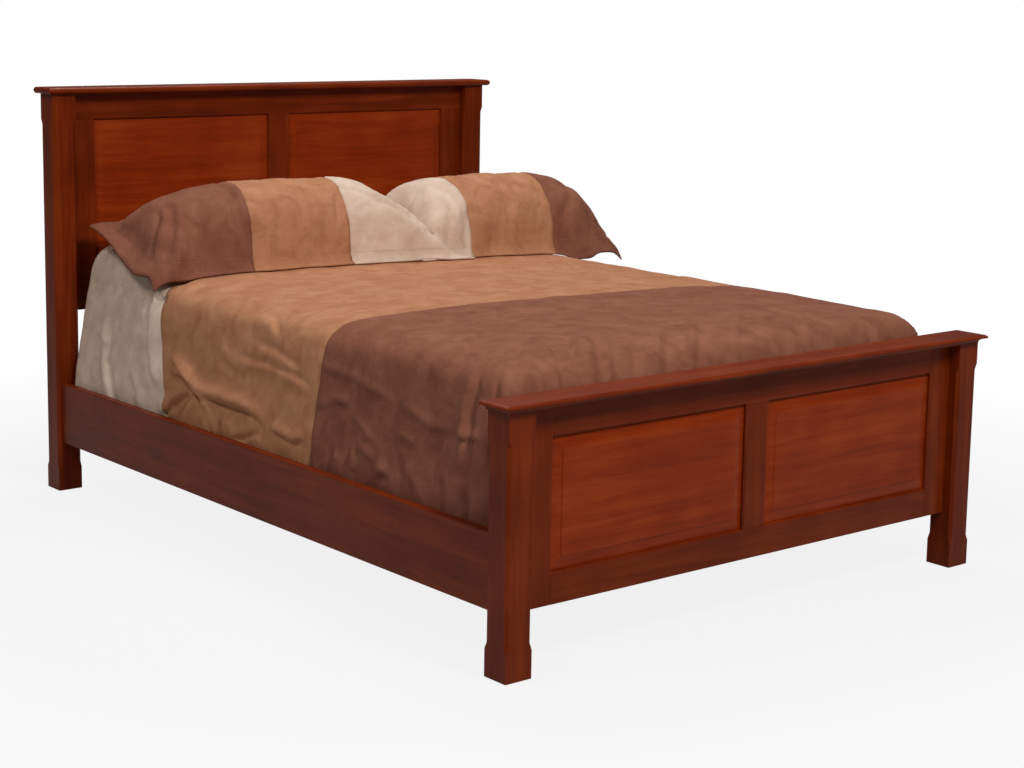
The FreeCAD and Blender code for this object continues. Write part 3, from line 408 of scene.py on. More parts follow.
def wadding(name, node, voxel, material, tuft=None):
    """A closed soft copy of a CAD node, remeshed evenly, with tufts pressed into its flat sides."""
    mesh = nodes[node].data.copy()
    mesh.transform(nodes[node].matrix_world)
    mesh.name = name
    mesh.remesh_voxel_size = voxel
    piece = new_piece(name, mesh)
    select_only(piece)
    bpy.ops.object.voxel_remesh()
    finish_with(piece, material)
    points, normals = np.empty((2, len(piece.data.vertices) * 3))
    piece.data.vertices.foreach_get("co", points)
    piece.data.vertices.foreach_get("normal", normals)
    points, normals = points.reshape(-1, 3), normals.reshape(-1, 3)
    if tuft:
        wave = np.cos(2 * math.pi * points[:, 0] / tuft) * np.cos(2 * math.pi * points[:, 1] / tuft)
        points[:, 2] -= TUFT_DEPTH * normals[:, 2] ** 3 * np.clip(wave, 0, 1) ** 2
    piece.data.vertices.foreach_set("co", points.ravel())
    piece.data.update()
    piece.data.shade_smooth()
    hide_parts(node)
    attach(piece, "frame")
    return piece


def tree_of(piece):
    mesh = piece.data
    return BVHTree.FromPolygons([v.co for v in mesh.vertices], [tuple(p.vertices) for p in mesh.polygons])


CORD_RADIUS, CORD_STEPS, CORD_SIDES = 0.0035, 160, 8
CORD_OUT = 0.6                                       # how far its middle stands out, in radii
CORD_INSET = 0.010


def corded_edge(name, tree, level):
    """A corded seam: a thin tube that runs round the piece at one level."""
    path = []
    for k in range(CORD_STEPS):
        turn = 2 * math.pi * k / CORD_STEPS
        way = Vector((0.76 * math.cos(turn), 1.02 * math.sin(turn), 0))
        hit = tree.ray_cast(Vector((0, 0, level)) + way * 2, -way.normalized())
        path.append(hit[0] + hit[1].xy.to_3d().normalized() * CORD_RADIUS * CORD_OUT)
    points, faces = [], []
    for before, here, after in zip(path[-1:] + path[:-1], path, path[1:] + path[:1]):
        side = (after - before).cross(Vector((0, 0, 1))).normalized()
        for k in range(CORD_SIDES):
            turn = 2 * math.pi * k / CORD_SIDES
            up = Vector((0, 0, CORD_RADIUS * math.sin(turn)))
            points.append(tuple(here + side * (CORD_RADIUS * math.cos(turn)) + up))
    for i in range(CORD_STEPS):
        low, high = i * CORD_SIDES, (i + 1) % CORD_STEPS * CORD_SIDES
        for k in range(CORD_SIDES):
            nxt = (k + 1) % CORD_SIDES
            faces.append((low + k, high + k, high + nxt, low + nxt))
    piece = new_piece(name, new_mesh(name, points, faces), cord_cloth)
    piece.data.shade_smooth()
    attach(piece, "frame")


mattress = wadding("mattress_wadding", "mattress", 0.015, mattress_cloth, tuft=0.17)
foundation = wadding("foundation_wadding", "foundation", 0.015, foundation_cloth)
for piece, ends in ((mattress, (min,)), (foundation, (min, max))):
    z = [v.co.z for v in piece.data.vertices]
    for end in ends:
        height = min(z) + CORD_INSET if end is min else max(z) - CORD_INSET
        corded_edge("%s_cord_%.0f" % (piece.name.split("_")[0], height * 1000), tree_of(piece), height)
print("mattress and foundation:", len(mattress.data.polygons), len(foundation.data.polygons), "faces")

# %% [markdown]
# ## Two flat pillows under the cover
# The cover rises towards the head end, so something lies under it there: two flat pillows
# side by side. Only their form shows, through the cover, so they are one soft copy too.

# %% Flat pillows
flat_pillows = wadding("flat_pillows", "head_pillows", 0.011, mattress_cloth)
under_cover = [tree_of(mattress), tree_of(flat_pillows)]
print("flat pillows:", len(flat_pillows.data.polygons), "faces")


# %% [markdown]
# ## The comforter as one cloth
# The comforter's sides are tucked down inside the rails. A dropped cloth would fold at random,
# so here the cloth is a grid from hem to hem: a section across the bed and one along it say how
# it falls, and at the two foot corners the square of the grid is drawn round a quarter turn, as
# a tucked corner is. The folds are pressed in afterwards, each along its own line.

# %% Sections of the covered bed
# Points (distance from the middle, height) on top, over the edge and down to the hem
ACROSS = [(0, .7166), (.2, .7160), (.4, .7130), (.56, .7065), (.64, .6990), (.690, .6830), (.722, .6560),
          (.738, .6100), (.746, .5600), (.754, .5000), (.762, .4500), (.771, .3900), (.778, .3300),
          (.778, .2920)]
ACROSS_HEAD = [(0, .7660), (.2, .7660), (.4, .7655), (.56, .7640), (.640, .7600), (.688, .7370),
               (.712, .7000), (.724, .6530), (.742, .5640), (.750, .5000), (.759, .4500), (.770, .3900),
               (.778, .3300), (.778, .2920)]
TO_FOOT = [(0, .7166), (.3, .7176), (.55, .7180), (.75, .7170), (.86, .7110), (.92, .7030), (.960, .6880),
           (.994, .6620), (1.012, .6280), (1.020, .5800), (1.026, .5000), (1.031, .4200), (1.036, .3500),
           (1.036, .2920)]
TOP_HEIGHT = .7166
RISE_START, RISE_END = .60, .845                     # where the cover climbs onto the flat pillows
HANG_LOW, HANG_HIGH = .30, .70                       # heights between which the sides follow the top
SHOULDER_ACROSS, SHOULDER_FOOT = 0.655, 0.925
HEAD_EDGE = 1.010
BROWN_SEAM, CREAM_SEAM = -0.335, 0.584      # where the seams cross the top's middle line


def soft_line(points, count):
    """Evenly spaced points on a smooth curve through the given ones, and their distances."""
    p = np.array(points, float)
    p = np.vstack([2 * p[0] - p[1], p, 2 * p[-1] - p[-2]])
    t = np.linspace(0, 1, 24, endpoint=False)[:, None]
    runs = []
    for a, b, c, d in zip(p[:-3], p[1:-2], p[2:-1], p[3:]):
        square, cube = 2 * a - 5 * b + 4 * c - d, 3 * b - a - 3 * c + d
        runs.append(0.5 * (2 * b + (c - a) * t + square * t ** 2 + cube * t ** 3))
    line = np.vstack(runs + [p[-2:-1]])
    along = np.concatenate([[0], np.cumsum(np.linalg.norm(np.diff(line, axis=0), axis=1))])
    even = np.linspace(0, along[-1], count)
    return np.column_stack([np.interp(even, along, line[:, k]) for k in (0, 1)]), even


across_line, across_way = soft_line(ACROSS, 600)
head_line, head_way = soft_line(ACROSS_HEAD, 600)
foot_line, foot_way = soft_line(TO_FOOT, 700)
side_start = np.interp(SHOULDER_ACROSS, across_line[:, 0], across_way)
foot_start = np.interp(SHOULDER_FOOT, foot_line[:, 0], foot_way)
print("cloth across: %.2f m, from the middle to the foot hem: %.2f m" % (2 * across_way[-1], foot_way[-1]))


# %% Grid of the cloth
def smooth_step(low, high, value):
    t = np.clip((value - low) / (high - low), 0, 1)
    return t * t * (3 - 2 * t)


FINE, COARSE = 0.0060, 0.0120
hem, turn_over = across_way[-1], side_start - 0.08
column_way = np.concatenate([np.arange(-hem, -turn_over, FINE), np.arange(-turn_over, turn_over, COARSE),
                             np.linspace(turn_over, hem, 60)])
row_stops = [-foot_way[-1], BROWN_SEAM, CREAM_SEAM, HEAD_EDGE]
row_way, seam_rows = [], []
for low, high in zip(row_stops, row_stops[1:]):
    steps = int((high - low) / (FINE * 1.1))
    row_way.append(np.linspace(low, high, steps, endpoint=False))
    seam_rows.append(steps + (seam_rows[-1] if seam_rows else 0))
row_way = np.append(np.concatenate(row_way), HEAD_EDGE)
A, B = np.meshgrid(column_way, row_way)
print("grid:", A.shape, "seams at rows", seam_rows[:2])


# %% Lay the grid over the bed
def section(line, way, distance, column):
    return np.interp(distance, way, line[:, column])


def lay(a, b):
    """Point of the covered bed for a place on the cloth: a across from the middle, b towards the head."""
    out, along = np.abs(a), -b
    rise = smooth_step(RISE_START, RISE_END, b)
    out_head = out * head_way[-1] / across_way[-1]
    x, z = [(1 - rise) * section(across_line, across_way, out, k)
            + rise * section(head_line, head_way, out_head, k) for k in (0, 1)]
    foot = np.clip(along, 0, None)
    yf, zf = section(foot_line, foot_way, foot, 0), section(foot_line, foot_way, foot, 1)
    top = across_line[0, 1]
    y = np.where(b > 0, b, -yf)
    hang = smooth_step(HANG_LOW, HANG_HIGH, z)
    flat_z = z + (zf - top) * np.where(out < side_start, 1, hang)
    # the foot corners: the square of cloth beyond both shoulders goes round a quarter turn
    reach_a, reach_b = across_way[-1] - side_start, foot_way[-1] - foot_start
    u = np.clip((out - side_start) / reach_a, 1e-6, 1)
    v = np.clip((foot - foot_start) / reach_b, 1e-6, 1)
    far = np.maximum(u, v)
    turn = np.where(u >= v, math.pi / 4 * v / u, math.pi / 2 - math.pi / 4 * u / v)
    xs = section(across_line, across_way, side_start + far * reach_a, 0)
    zs = section(across_line, across_way, side_start + far * reach_a, 1)
    ys = section(foot_line, foot_way, foot_start + far * reach_b, 0)
    zt = section(foot_line, foot_way, foot_start + far * reach_b, 1)
    drop_f = np.interp(foot_start, foot_way, foot_line[:, 1]) - top
    drop_a = np.interp(side_start, across_way, across_line[:, 1]) - top
    corner = (out > side_start) & (foot > foot_start)
    ca, sa = np.cos(turn), np.sin(turn)
    cx = SHOULDER_ACROSS + (xs - SHOULDER_ACROSS) * ca
    cy = -(SHOULDER_FOOT + (ys - SHOULDER_FOOT) * sa)
    hang_c = smooth_step(HANG_LOW, HANG_HIGH, zs * ca ** 2 + zt * sa ** 2)
    cz = (zs + drop_f * hang_c) * ca ** 2 + (zt + drop_a * hang_c) * sa ** 2
    x, y, flat_z = np.where(corner, cx, x), np.where(corner, cy, y), np.where(corner, cz, flat_z)
    return np.stack([np.sign(a) * x, y, flat_z], axis=-1)


def pull(b, seam, reach):
    """How much a row follows a slanting seam: all of it on the seam, nothing beyond reach."""
    return 1 - smooth_step(0, reach, np.abs(b - seam))


BROWN_SLANT, BROWN_REACH = -0.0955, .42              # the brown seam runs askew over the top
CREAM_LEAN, CREAM_REACH = 0.288, .36                 # the cream seam leans down the sides
slant = BROWN_SLANT * lay(A, B)[..., 0] * pull(B, BROWN_SEAM, BROWN_REACH)
lean = CREAM_LEAN * (lay(A, B * 0)[..., 2] - TOP_HEIGHT) * pull(B, CREAM_SEAM, CREAM_REACH)
cloth = lay(A, B + slant + lean)
print("cloth laid from z = %.3f to %.3f m" % (cloth[..., 2].min(), cloth[..., 2].max()))

# %% [markdown]
# ## Folds
# A simulated cloth would fold in other places than this one does, so each fold is a line on
# the cloth with a width and a depth. A tuck is a narrow valley with a soft ridge on one side,
# as where cloth is caught under itself. Small noise gives the puffs of the filling. The seams
# draw the cloth in, and it puckers beside them.

# %% The folds: width, depth and the points of the line, in millimetres
# A depth below zero puts the ridge on the other side of the line.
LEFT_TUCKS = [  # (y, z) on the left side
    (11, 11, 500, 455, 376, 447, 306, 414, 215, 416, 83, 414, 29, 412, -55, 385),
    (9, 7, 494, 488, 423, 474, 341, 432, 261, 391, 204, 360), (10, -9, 336, 424, 419, 375, 500, 320),
    (9, 9, 330, 420, 370, 372, 407, 318), (10, 9, 315, 418, 261, 379, 205, 315),
    (15, 16, 176, 372, 168, 345, 160, 310), (11, -8, 150, 322, 51, 343, -34, 382),
    (8, 6, -65, 386, -188, 373, -238, 394), (9, -4, 125, 556, -25, 562, -178, 546, -247, 529),
    (12, -3, 60, 610, -60, 600, -190, 570), (10, -3.5, 91, 689, -4, 673, -66, 634),
    (12, 3, 240, 560, 170, 520, 60, 500), (13, -8, 846, 590, 835, 500, 825, 430, 781, 346, 740, 300),
    (9, 4, 930, 499, 850, 478, 832, 416), (16, 7, 640, 690, 617, 500, 581, 430, 540, 390),
    (12, 4, 700, 420, 660, 370, 650, 320), (8, 4, -255, 572, -403, 569, -492, 551, -578, 546),
    (9, 6, -340, 500, -412, 507), (8, 4, -262, 476, -330, 491, -360, 520),
    (9, 4, -600, 545, -737, 501, -862, 516), (8, 4, -430, 475, -507, 433), (8, 4, -614, 466, -690, 456),
    (12, 8, -360, 400, -356, 300), (9, 6, -427, 420, -440, 350), (8, 4, -449, 412, -535, 386),
    (10, 6, -552, 358, -600, 373), (13, 5, -640, 400, -700, 352, -720, 300),
    (11, -9, -868, 690, -885, 633, -880, 576, -894, 500, -890, 420),
    (11, 8, -930, 690, -955, 638, -968, 560, -965, 440), (8, 5, -850, 503, -925, 512),
    (12, 6, -800, 420, -830, 350, -828, 300), (12, -8, -905, 430, -915, 360, -912, 300),
]
FOOT_EDGE_TUCKS = [  # (x, y) where the cover turns down at the foot
    (10, 7, -442, -790, -613, -1065, -670, -1164), (11, -6, -380, -797, -591, -1080, -657, -1173),
    (12, 8, -288, -789, -495, -1055, -562, -1141), (10, 6, -290, -858, -435, -1034, -468, -1075),
    (11, -7, -254, -916, -439, -1093, -488, -1134), (12, 6, -109, -874, -283, -1041, -327, -1081),
    (10, 6, 6, -878, -169, -1037, -190, -1049), (11, -6, -555, -831, -761, -1051, -780, -1061),
    (12, 5, 231, -819, 36, -986, 23, -994), (10, -5, 413, -840, 247, -981, 229, -992),
]
FOOT_TUCKS = [  # (x, z) on the end behind the footboard
    (13, 8, -610, 700, -618, 640, -600, 520, -606, 330), (10, -5, -520, 705, -545, 650, -540, 560),
    (14, 7, -330, 700, -320, 640, -345, 520, -335, 330), (15, -7, -60, 690, -40, 600, -50, 330),
    (14, 8, 240, 700, 252, 620, 240, 330), (14, -7, 520, 700, 500, 600, 512, 330),
]
RIGHT_TUCKS = [  # (y, z) on the right side
    (15, 8, 640, 640, 600, 500, 560, 330), (14, -8, 240, 560, 260, 450, 230, 320),
    (15, 8, -120, 600, -90, 470, -110, 320), (14, -8, -520, 570, -505, 430, -520, 320),
    (12, 8, -860, 660, -875, 560, -870, 420), (9, 4, 60, 430, -80, 410, -210, 440),
    (9, 4, -650, 500, -760, 520, -860, 500),
]
TOP_TUCKS = [  # (x, y) on top
    (12, 4, -700, -797, -676, -761, -643, -798, -660, -870), (22, 3, -330, 330, -120, 300, 60, 330),
    (24, -3, 120, 120, 330, 90, 520, 140), (24, 3, -560, -60, -360, -110, -160, -90),
    (26, -3, -420, -520, -180, -500, 20, -560), (26, 3, 180, -620, 380, -560, 600, -590),
    (20, 3, 300, -180, 480, -210, 640, -160),
]


FOLD_WIDTH, FOLD_DEPTH = 1.25, 1.8                   # scale the lists above, so that the folds read


def tuck(u, v, width, depth, *line):
    """Height to add at (u, v): a narrow valley along the line with a soft ridge beside it."""
    best = np.full(u.shape, 9e9)
    side = np.zeros(u.shape)
    place = np.zeros(u.shape)
    line = np.array(line, float).reshape(-1, 2) / 1000
    lengths = np.linalg.norm(np.diff(line, axis=0), axis=1)
    starts = np.concatenate([[0], np.cumsum(lengths)])
    for p, q, start, length in zip(line, line[1:], starts, lengths):
        d = (q - p) / length
        t = np.clip((u - p[0]) * d[0] + (v - p[1]) * d[1], 0, length)
        du, dv = u - p[0] - t * d[0], v - p[1] - t * d[1]
        away = np.hypot(du, dv)
        nearer = away < best
        best = np.where(nearer, away, best)
        side = np.where(nearer, np.sign(d[0] * dv - d[1] * du), side)
        place = np.where(nearer, (start + t) / starts[-1], place)
    fade = smooth_step(-.02, .22, place) * (1 - smooth_step(.78, 1.02, place))
    s, w = best * side / (width * FOLD_WIDTH / 1000), abs(depth) * FOLD_DEPTH / 1000
    s = s if depth > 0 else -s
    return w * fade * (0.85 * np.exp(-((s + 1.5) / 1.5) ** 2) - np.exp(-(s / 0.62) ** 2))


flat_points = cloth.reshape(-1, 3)


def puffs(size, seed):
    """Smooth noise over the cloth, with waves of about the given size in metres."""
    offset = Vector((seed * 7.3, seed * 3.1, seed * 1.7))
    values = [noise.noise(Vector(p) / size + offset) for p in flat_points]
    return np.array(values).reshape(cloth.shape[:2])


X, Y, Z = cloth[..., 0], cloth[..., 1], cloth[..., 2]
on_left, on_right = smooth_step(.655, .73, -X), smooth_step(.655, .73, X)
on_foot = smooth_step(.945, 1.0, -Y) * (1 - np.maximum(on_left, on_right))
on_top = 1 - np.maximum(np.maximum(on_left, on_right), smooth_step(.90, .99, -Y))
height = 0.0035 * puffs(.22, 1) + 0.0022 * puffs(.085, 2) + 0.0009 * puffs(.035, 3)
hanging = np.maximum(on_left, np.maximum(on_right, on_foot)) * smooth_step(.62, .40, Z)
height += (0.004 * puffs(.13, 4) + 0.002 * puffs(.05, 5)) * hanging
for share, u, v, tucks in ((on_left, Y, Z, LEFT_TUCKS), (on_right, Y, Z, RIGHT_TUCKS),
                           (on_foot, X, Z, FOOT_TUCKS), (on_top, X, Y, TOP_TUCKS),
                           (1 - np.maximum(on_left, on_right), X, Y, FOOT_EDGE_TUCKS)):
    for fold in tucks:
        height += share * tuck(u, v, *fold)
SEAM_DEPTH, SEAM_WIDTH, PUCKER, PUCKER_EVERY, PUCKER_REACH = .0045, .007, .0016, .03, .05
for row in seam_rows[:2]:
    away = np.abs(row_way - row_way[row])[:, None] + 0 * A
    ripple = [[noise.noise(Vector((a / PUCKER_EVERY, row * 0.37, 4.0))) for a in column_way]]
    height -= SEAM_DEPTH * np.exp(-(away / SEAM_WIDTH) ** 2)
    height += PUCKER * np.array(ripple) * np.exp(-(away / PUCKER_REACH) ** 2)
print("folds pressed in: from %.1f to %.1f mm" % (1000 * height.min(), 1000 * height.max()))


# %% Push the cloth out along its normals
def grid_normals(points):
    along_rows = np.gradient(points, axis=0)
    along_columns = np.gradient(points, axis=1)
    normals = np.cross(along_columns, along_rows)
    return normals / np.maximum(np.linalg.norm(normals, axis=-1, keepdims=True), 1e-9)


def relaxed(p, keep, share):
    """The grid with each inner point drawn towards its four neighbours."""
    q = p.copy()
    q[1:-1, 1:-1] = keep * p[1:-1, 1:-1] + share * (
        p[:-2, 1:-1] + p[2:, 1:-1] + p[1:-1, :-2] + p[1:-1, 2:])
    return q


SIDE_LIMIT, FOOT_LIMIT = .7805, 1.056                # just inside the rails and the footboard
cloth = cloth + grid_normals(cloth) * height[..., None]
for _ in range(2):
    cloth = relaxed(cloth, 0.6, 0.1)
cloth[..., 0] = np.clip(cloth[..., 0], -SIDE_LIMIT, SIDE_LIMIT)
cloth[..., 1] = np.maximum(cloth[..., 1], -FOOT_LIMIT)
print("cloth box:", cloth.reshape(-1, 3).min(0).round(3), cloth.reshape(-1, 3).max(0).round(3))

# %% [markdown]
# ## Three bands of suede cloth
# The comforter is sewn from a brown, a tan and a cream band. The grid is cut at its two
# seam rows, and each part gets the comforter's thickness inwards, towards the mattress.
# Microsuede has no weave that shows. What shows is its nap: patches that lie another way
# look lighter or darker, and a soft sheen lights the rims.

# %% Suede
def suede(name, dark, middle, light):
    """Short nap in three tones, crushed in places."""
    material, made, links, shader = new_material(name)
    place = add_node(made, "TexCoord").outputs["Object"]
    nap = noise_node(made, links, place, Scale=15, Detail=6, Roughness=0.62, Distortion=0.6)
    fibre = noise_node(made, links, place, Scale=420, Detail=4)
    crush = noise_node(made, links, place, Scale=34, Detail=7, Distortion=1.2)
    both = add_node(made, "Mix", data_type="FLOAT", input_0=0.25)
    tone = ramp(made, (0.32, dark), (0.5, middle), (0.70, light))
    relief, grain = bump(made, links, crush, 0.5, 0.0028), bump(made, links, fibre, 0.25, 0.0004)
    wire(links, (nap, "Fac", both, 2), (fibre, "Fac", both, 3), (both, 0, tone, 0),
         (tone, 0, shader, "Base Color"), (relief, 0, grain, "Normal"), (grain, 0, shader, "Normal"))
    fill_in(shader, Roughness=0.92, Specular_IOR_Level=0.15, Sheen_Weight=0.22, Sheen_Roughness=0.45,
            Sheen_Tint=linear(light))
    return material


suedes = {
    "brown": suede("brown_suede", "#754535", "#865341", "#94604d"),
    "tan": suede("tan_suede", "#a2694a", "#b37c5b", "#c18c6a"),
    "cream": suede("cream_suede", "#c4a894", "#d4bba8", "#e2cdbc"),
}
print("suedes:", list(suedes))

# %% Keep the cloth off what it covers
COVER_THICKNESS = 0.0125
FIRST_CLEAR, LAST_CLEAR, LINING_CLEAR = 0.0105, 0.0040, 0.0015
PUSH_PASSES = 14


def keep_off(grid, clear):
    """The grid with each point moved out to at least clear from what lies under the cover."""
    points = grid.reshape(-1, 3).copy()
    for k, point in enumerate(points):
        p = Vector(point)
        for tree in under_cover:
            place, normal = tree.find_nearest(p, 0.06)[:2]
            if place is not None and (p - place).dot(normal) < clear:
                p += normal * (clear - (p - place).dot(normal))
        points[k] = p
    return points.reshape(grid.shape)


push = keep_off(cloth, FIRST_CLEAR) - cloth
for _ in range(PUSH_PASSES):
    push = relaxed(push, 0.4, 0.15)
cloth = keep_off(cloth + push, LAST_CLEAR)
lining = keep_off(cloth - grid_normals(cloth) * COVER_THICKNESS, LINING_CLEAR)
print("cloth pushed out by up to %.1f mm" % (1000 * np.linalg.norm(push, axis=-1).max()))


# %% Cut the cloth into its bands
def grid_quads(index):
    return np.stack([index[:-1, :-1], index[:-1, 1:], index[1:, 1:], index[1:, :-1]], -1).reshape(-1, 4)


def closed_mesh(name, upper, lower):
    """A closed mesh between two grids of the same shape, the upper one facing out."""
    rows, columns = upper.shape[:2]
    count = rows * columns
    index = np.arange(count).reshape(rows, columns)
    quads = grid_quads(index)
    faces = quads.tolist() + (quads[:, ::-1] + count).tolist()
    rim = np.concatenate([index[0, :-1], index[:-1, -1], index[-1, :0:-1], index[:0:-1, 0]])
    faces += [[int(q), int(p), int(p) + count, int(q) + count] for p, q in zip(rim, np.roll(rim, -1))]
    return new_mesh(name, np.concatenate([upper.reshape(-1, 3), lower.reshape(-1, 3)]).tolist(), faces)


def closed_piece(name, upper, lower, colour):
    piece = new_piece(name, closed_mesh(name, upper, lower), suedes[colour])
    piece.data.shade_smooth()
    return piece


band_rows = [0, *seam_rows[:2], len(row_way) - 1]
for colour, low, high in zip(("brown", "tan", "cream"), band_rows, band_rows[1:]):
    piece = closed_piece("cover_" + colour, cloth[low:high + 1], lining[low:high + 1], colour)
    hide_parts("comforter_" + colour)
    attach(piece, "frame")

# %% [markdown]
# ## Pillow shams
# Each sham is a stuffed bag inside a flat border. It starts as a lens on a grid whose
# columns fall on the two sewn seams. Cloth simulation then swells it against its border,
# which is pinned, so that the cloth gathers where the bag meets the border. The border is
# limp: it lies down on whatever is under it.

# %% Shape of a sham
BORDER, BORDER_THICKNESS = 0.048, 0.005
SHAM_CELL = 0.0095


def spaced(stops):
    """Places between each two stops, about a cell apart, and where each run starts."""
    runs, marks = [], []
    for low, high in zip(stops, stops[1:]):
        marks.append(sum(len(run) for run in runs))
        runs.append(np.linspace(low, high, max(4, round((high - low) / SHAM_CELL)), endpoint=False))
    return np.append(np.concatenate(runs), stops[-1]), marks


def sham_grid(reach, depth, crown, seams, ends):
    """Places on the plan of a sham (u along, w across), how high it swells there, and its seam columns."""
    u, marks = spaced([-reach[0], BORDER - reach[0], *seams, reach[1] - BORDER, reach[1]])
    w = spaced([-depth / 2, BORDER - depth / 2, depth / 2 - BORDER, depth / 2])[0]
    U, W = np.meshgrid(u, w)
    su = np.clip(np.where(U < 0, -U / (reach[0] - BORDER), U / (reach[1] - BORDER)), 0, 1)
    sw = np.clip(np.abs(W) / (depth / 2 - BORDER), 0, 1)
    fullness = np.where(U < 0, ends[0], ends[1])
    swell = (1 - su ** fullness) ** 0.6 * (1 - sw ** 2.6) ** 0.55
    return U, W, swell * crown, marks, (su < 1) & (sw < 1)


print("border of a sham: %.0f mm" % (1000 * BORDER))

# %% Swell a sham
SWELL_FRAMES, SWELL_LIMIT = 18, 0.026
SWELL_SETTINGS = {
    "quality": 6, "mass": 0.25, "tension_stiffness": 12, "compression_stiffness": 12, "shear_stiffness": 6,
    "bending_stiffness": 0.35, "vertex_group_mass": "border", "use_pressure": True,
    "uniform_pressure_force": 3.2, "shrink_min": -0.035}
UNDERSIDE = 0.45                                     # how full the underside is beside the top


def swell_sham(name, reach, depth, crown, seams, ends):
    """A sham lying flat at the origin, as two grids of points, with the columns of its seams."""
    U, W, rise, marks, inside = sham_grid(reach, depth, crown, seams, ends)
    half = BORDER_THICKNESS / 2
    along = np.where(U < 0, -U / reach[0], U / reach[1])
    in_u = 1 - 0.024 * (1 - np.clip(np.abs(W) / (depth / 2), 0, 1) ** 2)
    in_w = 1 - 0.09 * (1 - np.clip(along, 0, 1) ** 2)
    before = np.stack([np.stack([U * in_u, W * in_w, half + rise], -1),
                       np.stack([U * in_u, W * in_w, -half - UNDERSIDE * rise], -1)])
    after = before
    piece = new_piece(name, closed_mesh(name, *before))
    pinned = piece.vertex_groups.new(name="border")
    outside = np.flatnonzero(~np.stack([inside, inside]).reshape(-1))
    pinned.add(outside.tolist(), 1.0, "REPLACE")
    select_only(piece)
    swell = piece.modifiers.new("swell", "CLOTH")
    settings = swell.settings
    for key, value in SWELL_SETTINGS.items():
        setattr(settings, key, value)
    settings.effector_weights.gravity = 0
    swell.collision_settings.use_collision = False
    for step in range(SWELL_FRAMES):
        scene.frame_set(step + 1)
    bpy.ops.object.modifier_apply(modifier="swell")
    scene.frame_set(1)
    after = np.empty(before.size)
    piece.data.vertices.foreach_get("co", after)
    after = after.reshape(before.shape)
    bpy.data.objects.remove(piece)
    move = after - before
    way = np.linalg.norm(move, axis=-1, keepdims=True)
    after = before + move * np.minimum(1, SWELL_LIMIT / np.maximum(way, 1e-9))
    print(name, "swelled by up to %.0f mm" % (1000 * way.max()), "on a grid of", U.shape)
    return U, W, after[0], after[1], marks


class Ground:
    """Surfaces that lie under a sham: keeps points outside them and draws points down to them."""

    def __init__(self, grids):
        self.trees = []
        for points in grids:
            index = np.arange(points[..., 0].size).reshape(points.shape[:2])
            faces = grid_quads(index).tolist()
            self.trees.append(BVHTree.FromPolygons(points.reshape(-1, 3).tolist(), faces))

    def keep_out(self, point, clear, hug):
        """The point moved to at least clear above the surfaces; hug draws it down onto them."""
        p = Vector(point)
        for tree in self.trees:
            place, normal, _, distance = tree.find_nearest(p, 0.25)
            if place is not None and distance < 0.12 and (p - place).dot(normal) < clear:
                p = p + normal * (clear - (p - place).dot(normal))
        if hug > 0:
            start = p + Vector((0, 0, 0.02))
            hits = [tree.ray_cast(start, Vector((0, 0, -1)), 0.4)[0] for tree in self.trees]
            drop = max([hit.z for hit in hits if hit is not None], default=p.z)
            if p.z - drop > clear:
                p.z -= min(p.z - drop - clear, HUG_LIMIT) * hug
        return p


def bend_border(sheet, U, W, angles):
    """The border turned down along the front, and at the left and the right end, by these degrees."""
    bent = sheet.copy()
    half_w = np.abs(W).max()
    over = np.clip(-W - (half_w - BORDER), 0, None)
    bent[..., 1] += over * (1 - math.cos(math.radians(angles[0])))
    bent[..., 2] -= over * math.sin(math.radians(angles[0]))
    for side, angle, end in ((-1, angles[1], -U.min()), (1, angles[2], U.max())):
        over = np.clip(side * U - (end - BORDER), 0, None)
        bent[..., 0] -= side * over * (1 - math.cos(math.radians(angle)))
        bent[..., 2] -= over * math.sin(math.radians(angle))
    return bent


def soften_edge(p, share):
    """Take small kinks out of the border, along its rim and across it."""
    for _ in range(3):
        q = relaxed(p, 0.4, 0.15)
        for rim in (0, -1):
            q[rim, 1:-1] = 0.5 * p[rim, 1:-1] + 0.25 * (p[rim, :-2] + p[rim, 2:])
            q[1:-1, rim] = 0.5 * p[1:-1, rim] + 0.25 * (p[:-2, rim] + p[2:, rim])
        p = p + (q - p) * share[..., None]
    return p


HUG_LIMIT, DROOP_RADIUS = 0.018, 0.15
SHAM_CLEAR, CORNER_TUCK = 0.0022, (0.034, 0.012)


